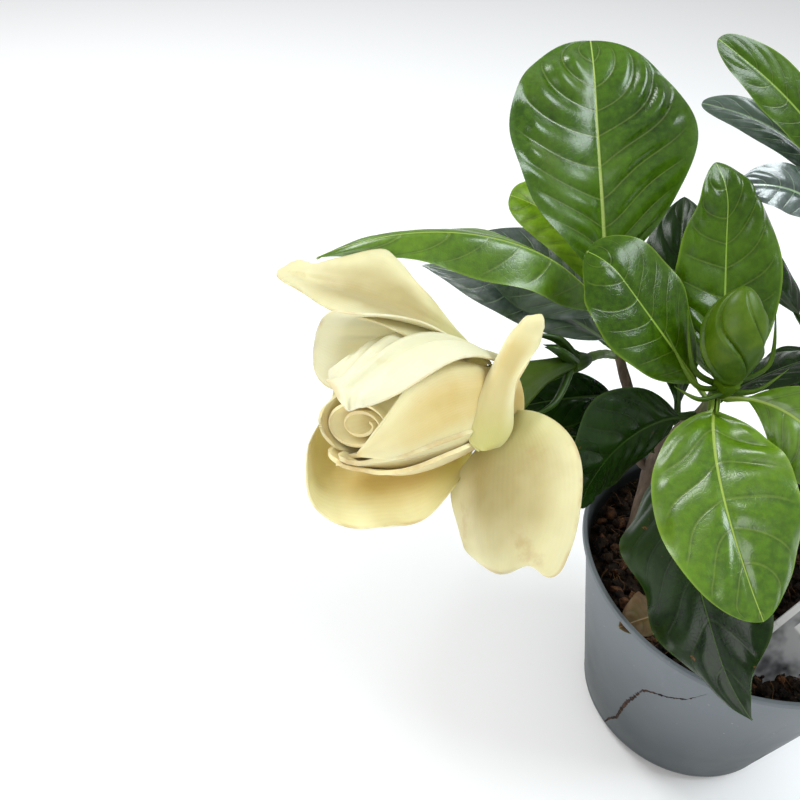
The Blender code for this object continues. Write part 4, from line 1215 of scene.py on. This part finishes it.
hand_over(roll_tube("tube_flesh", smooth_route(TUBE_ROUTE, 14), 48, fluted), "corolla_tube", tube_flesh)
hand_over(build_bud(), "bud", bud_flesh)
flower_calyx = build_calyx("flower_calyx_cup", FLOWER_CUP, FLOWER_LOBES, FLOWER_LOBE_WIDTH)
hand_over(flower_calyx, "flower_calyx", calyx_flesh)
hand_over(build_calyx("bud_calyx_cup", BUD_CUP, BUD_LOBES, BUD_LOBE_WIDTH), "bud_calyx", bud_flesh)

hand_over(finish_pot(build_pot()), "pot", pot_plastic)
hand_over(build_soil(), "soil", potting_mix)
hand_over(crack_filling(), "pot", crack_dirt)
crumbs = scatter("soil_crumbs", crumb_shape(), 1500, 21, (0.6, 3.2), (0.6, 1.1), (-1.6, 1.6))
hand_over(crumbs, "soil", potting_mix)
chips = scatter("bark_chips", crumb_shape(), 240, 23, (1.2, 3.6), (0.4, 0.9), (-0.8, 1.8))
hand_over(chips, "soil", bark_chips)
fibres = scatter("soil_fibres", fibre_shape(), 260, 22, (0.5, 1.3), (0.7, 1.4), (-0.6, 1.6))
hand_over(fibres, "soil", coir)
hand_over(build_label(), "plant_label", label_finish())


# ---------------------------------------------------------------- studio

FLOOR_SIZE = 8.0
FLOOR_GAP = 0.0004
AIR_STRENGTH = 0.5
CAMERA_PLACE = (-0.143, -0.206, 0.354)
CAMERA_PITCH = math.radians(41.3)
CAMERA_LEAN = math.radians(4.1)
CAMERA_LENS = CAMERA_FILM = 36.0
CAMERA_NEAR = 0.01

put_down_all()
bpy.ops.mesh.primitive_plane_add(size=FLOOR_SIZE, location=(0, 0, -FLOOR_GAP))
floor = bpy.context.object
floor.name = "floor"
floor_paint, _, floor_shader = new_finish("pale floor")
set_sockets(floor_shader, {"Base Color": (0.97, 0.97, 0.97, 1), "Roughness": 0.9})
floor.data.materials.append(floor_paint)

world = bpy.data.worlds.new("studio air")
world.use_nodes = True
set_sockets(world.node_tree.nodes["Background"], {"Color": (1, 1, 1, 1), "Strength": AIR_STRENGTH})
bpy.context.scene.world = world
bpy.context.scene.view_settings.view_transform = "Standard"


def soft_box(name, place, aim, size, power, tint=(1, 1, 1)):
    lamp = bpy.data.lights.new(name, "AREA")
    lamp.shape = "RECTANGLE"
    lamp.size, lamp.size_y = size
    lamp.energy = power
    lamp.color = tint
    stand = bpy.data.objects.new(name, lamp)
    bpy.context.scene.collection.objects.link(stand)
    stand.location = place
    stand.rotation_euler = (Vector(aim) - Vector(place)).to_track_quat("-Z", "Y").to_euler()


middle = tuple((cad_low + cad_high) / 2)
soft_box("key", (-0.75, 0.45, 1.0), middle, (0.35, 0.35), 6.5, (0.97, 0.99, 1.0))
soft_box("fill", (-0.9, -0.9, 0.6), middle, (0.8, 0.8), 7)
soft_box("window", (0.62, -0.05, 1.05), middle, (0.6, 0.45), 9.5, (0.87, 0.95, 1.0))

ahead = Vector((0, math.cos(CAMERA_PITCH), -math.sin(CAMERA_PITCH)))
level = Vector((1, 0, 0))
upright = level.cross(ahead)
right = level * math.cos(CAMERA_LEAN) + upright * math.sin(CAMERA_LEAN)
up = upright * math.cos(CAMERA_LEAN) - level * math.sin(CAMERA_LEAN)
camera = bpy.data.cameras.new("camera")
camera.lens, camera.sensor_width, camera.clip_start = CAMERA_LENS, CAMERA_FILM, CAMERA_NEAR
tripod = bpy.data.objects.new("camera", camera)
bpy.context.scene.collection.objects.link(tripod)
place = Matrix((right, up, -ahead)).transposed().to_4x4()
place.translation = CAMERA_PLACE
tripod.matrix_world = place
bpy.context.scene.camera = tripod
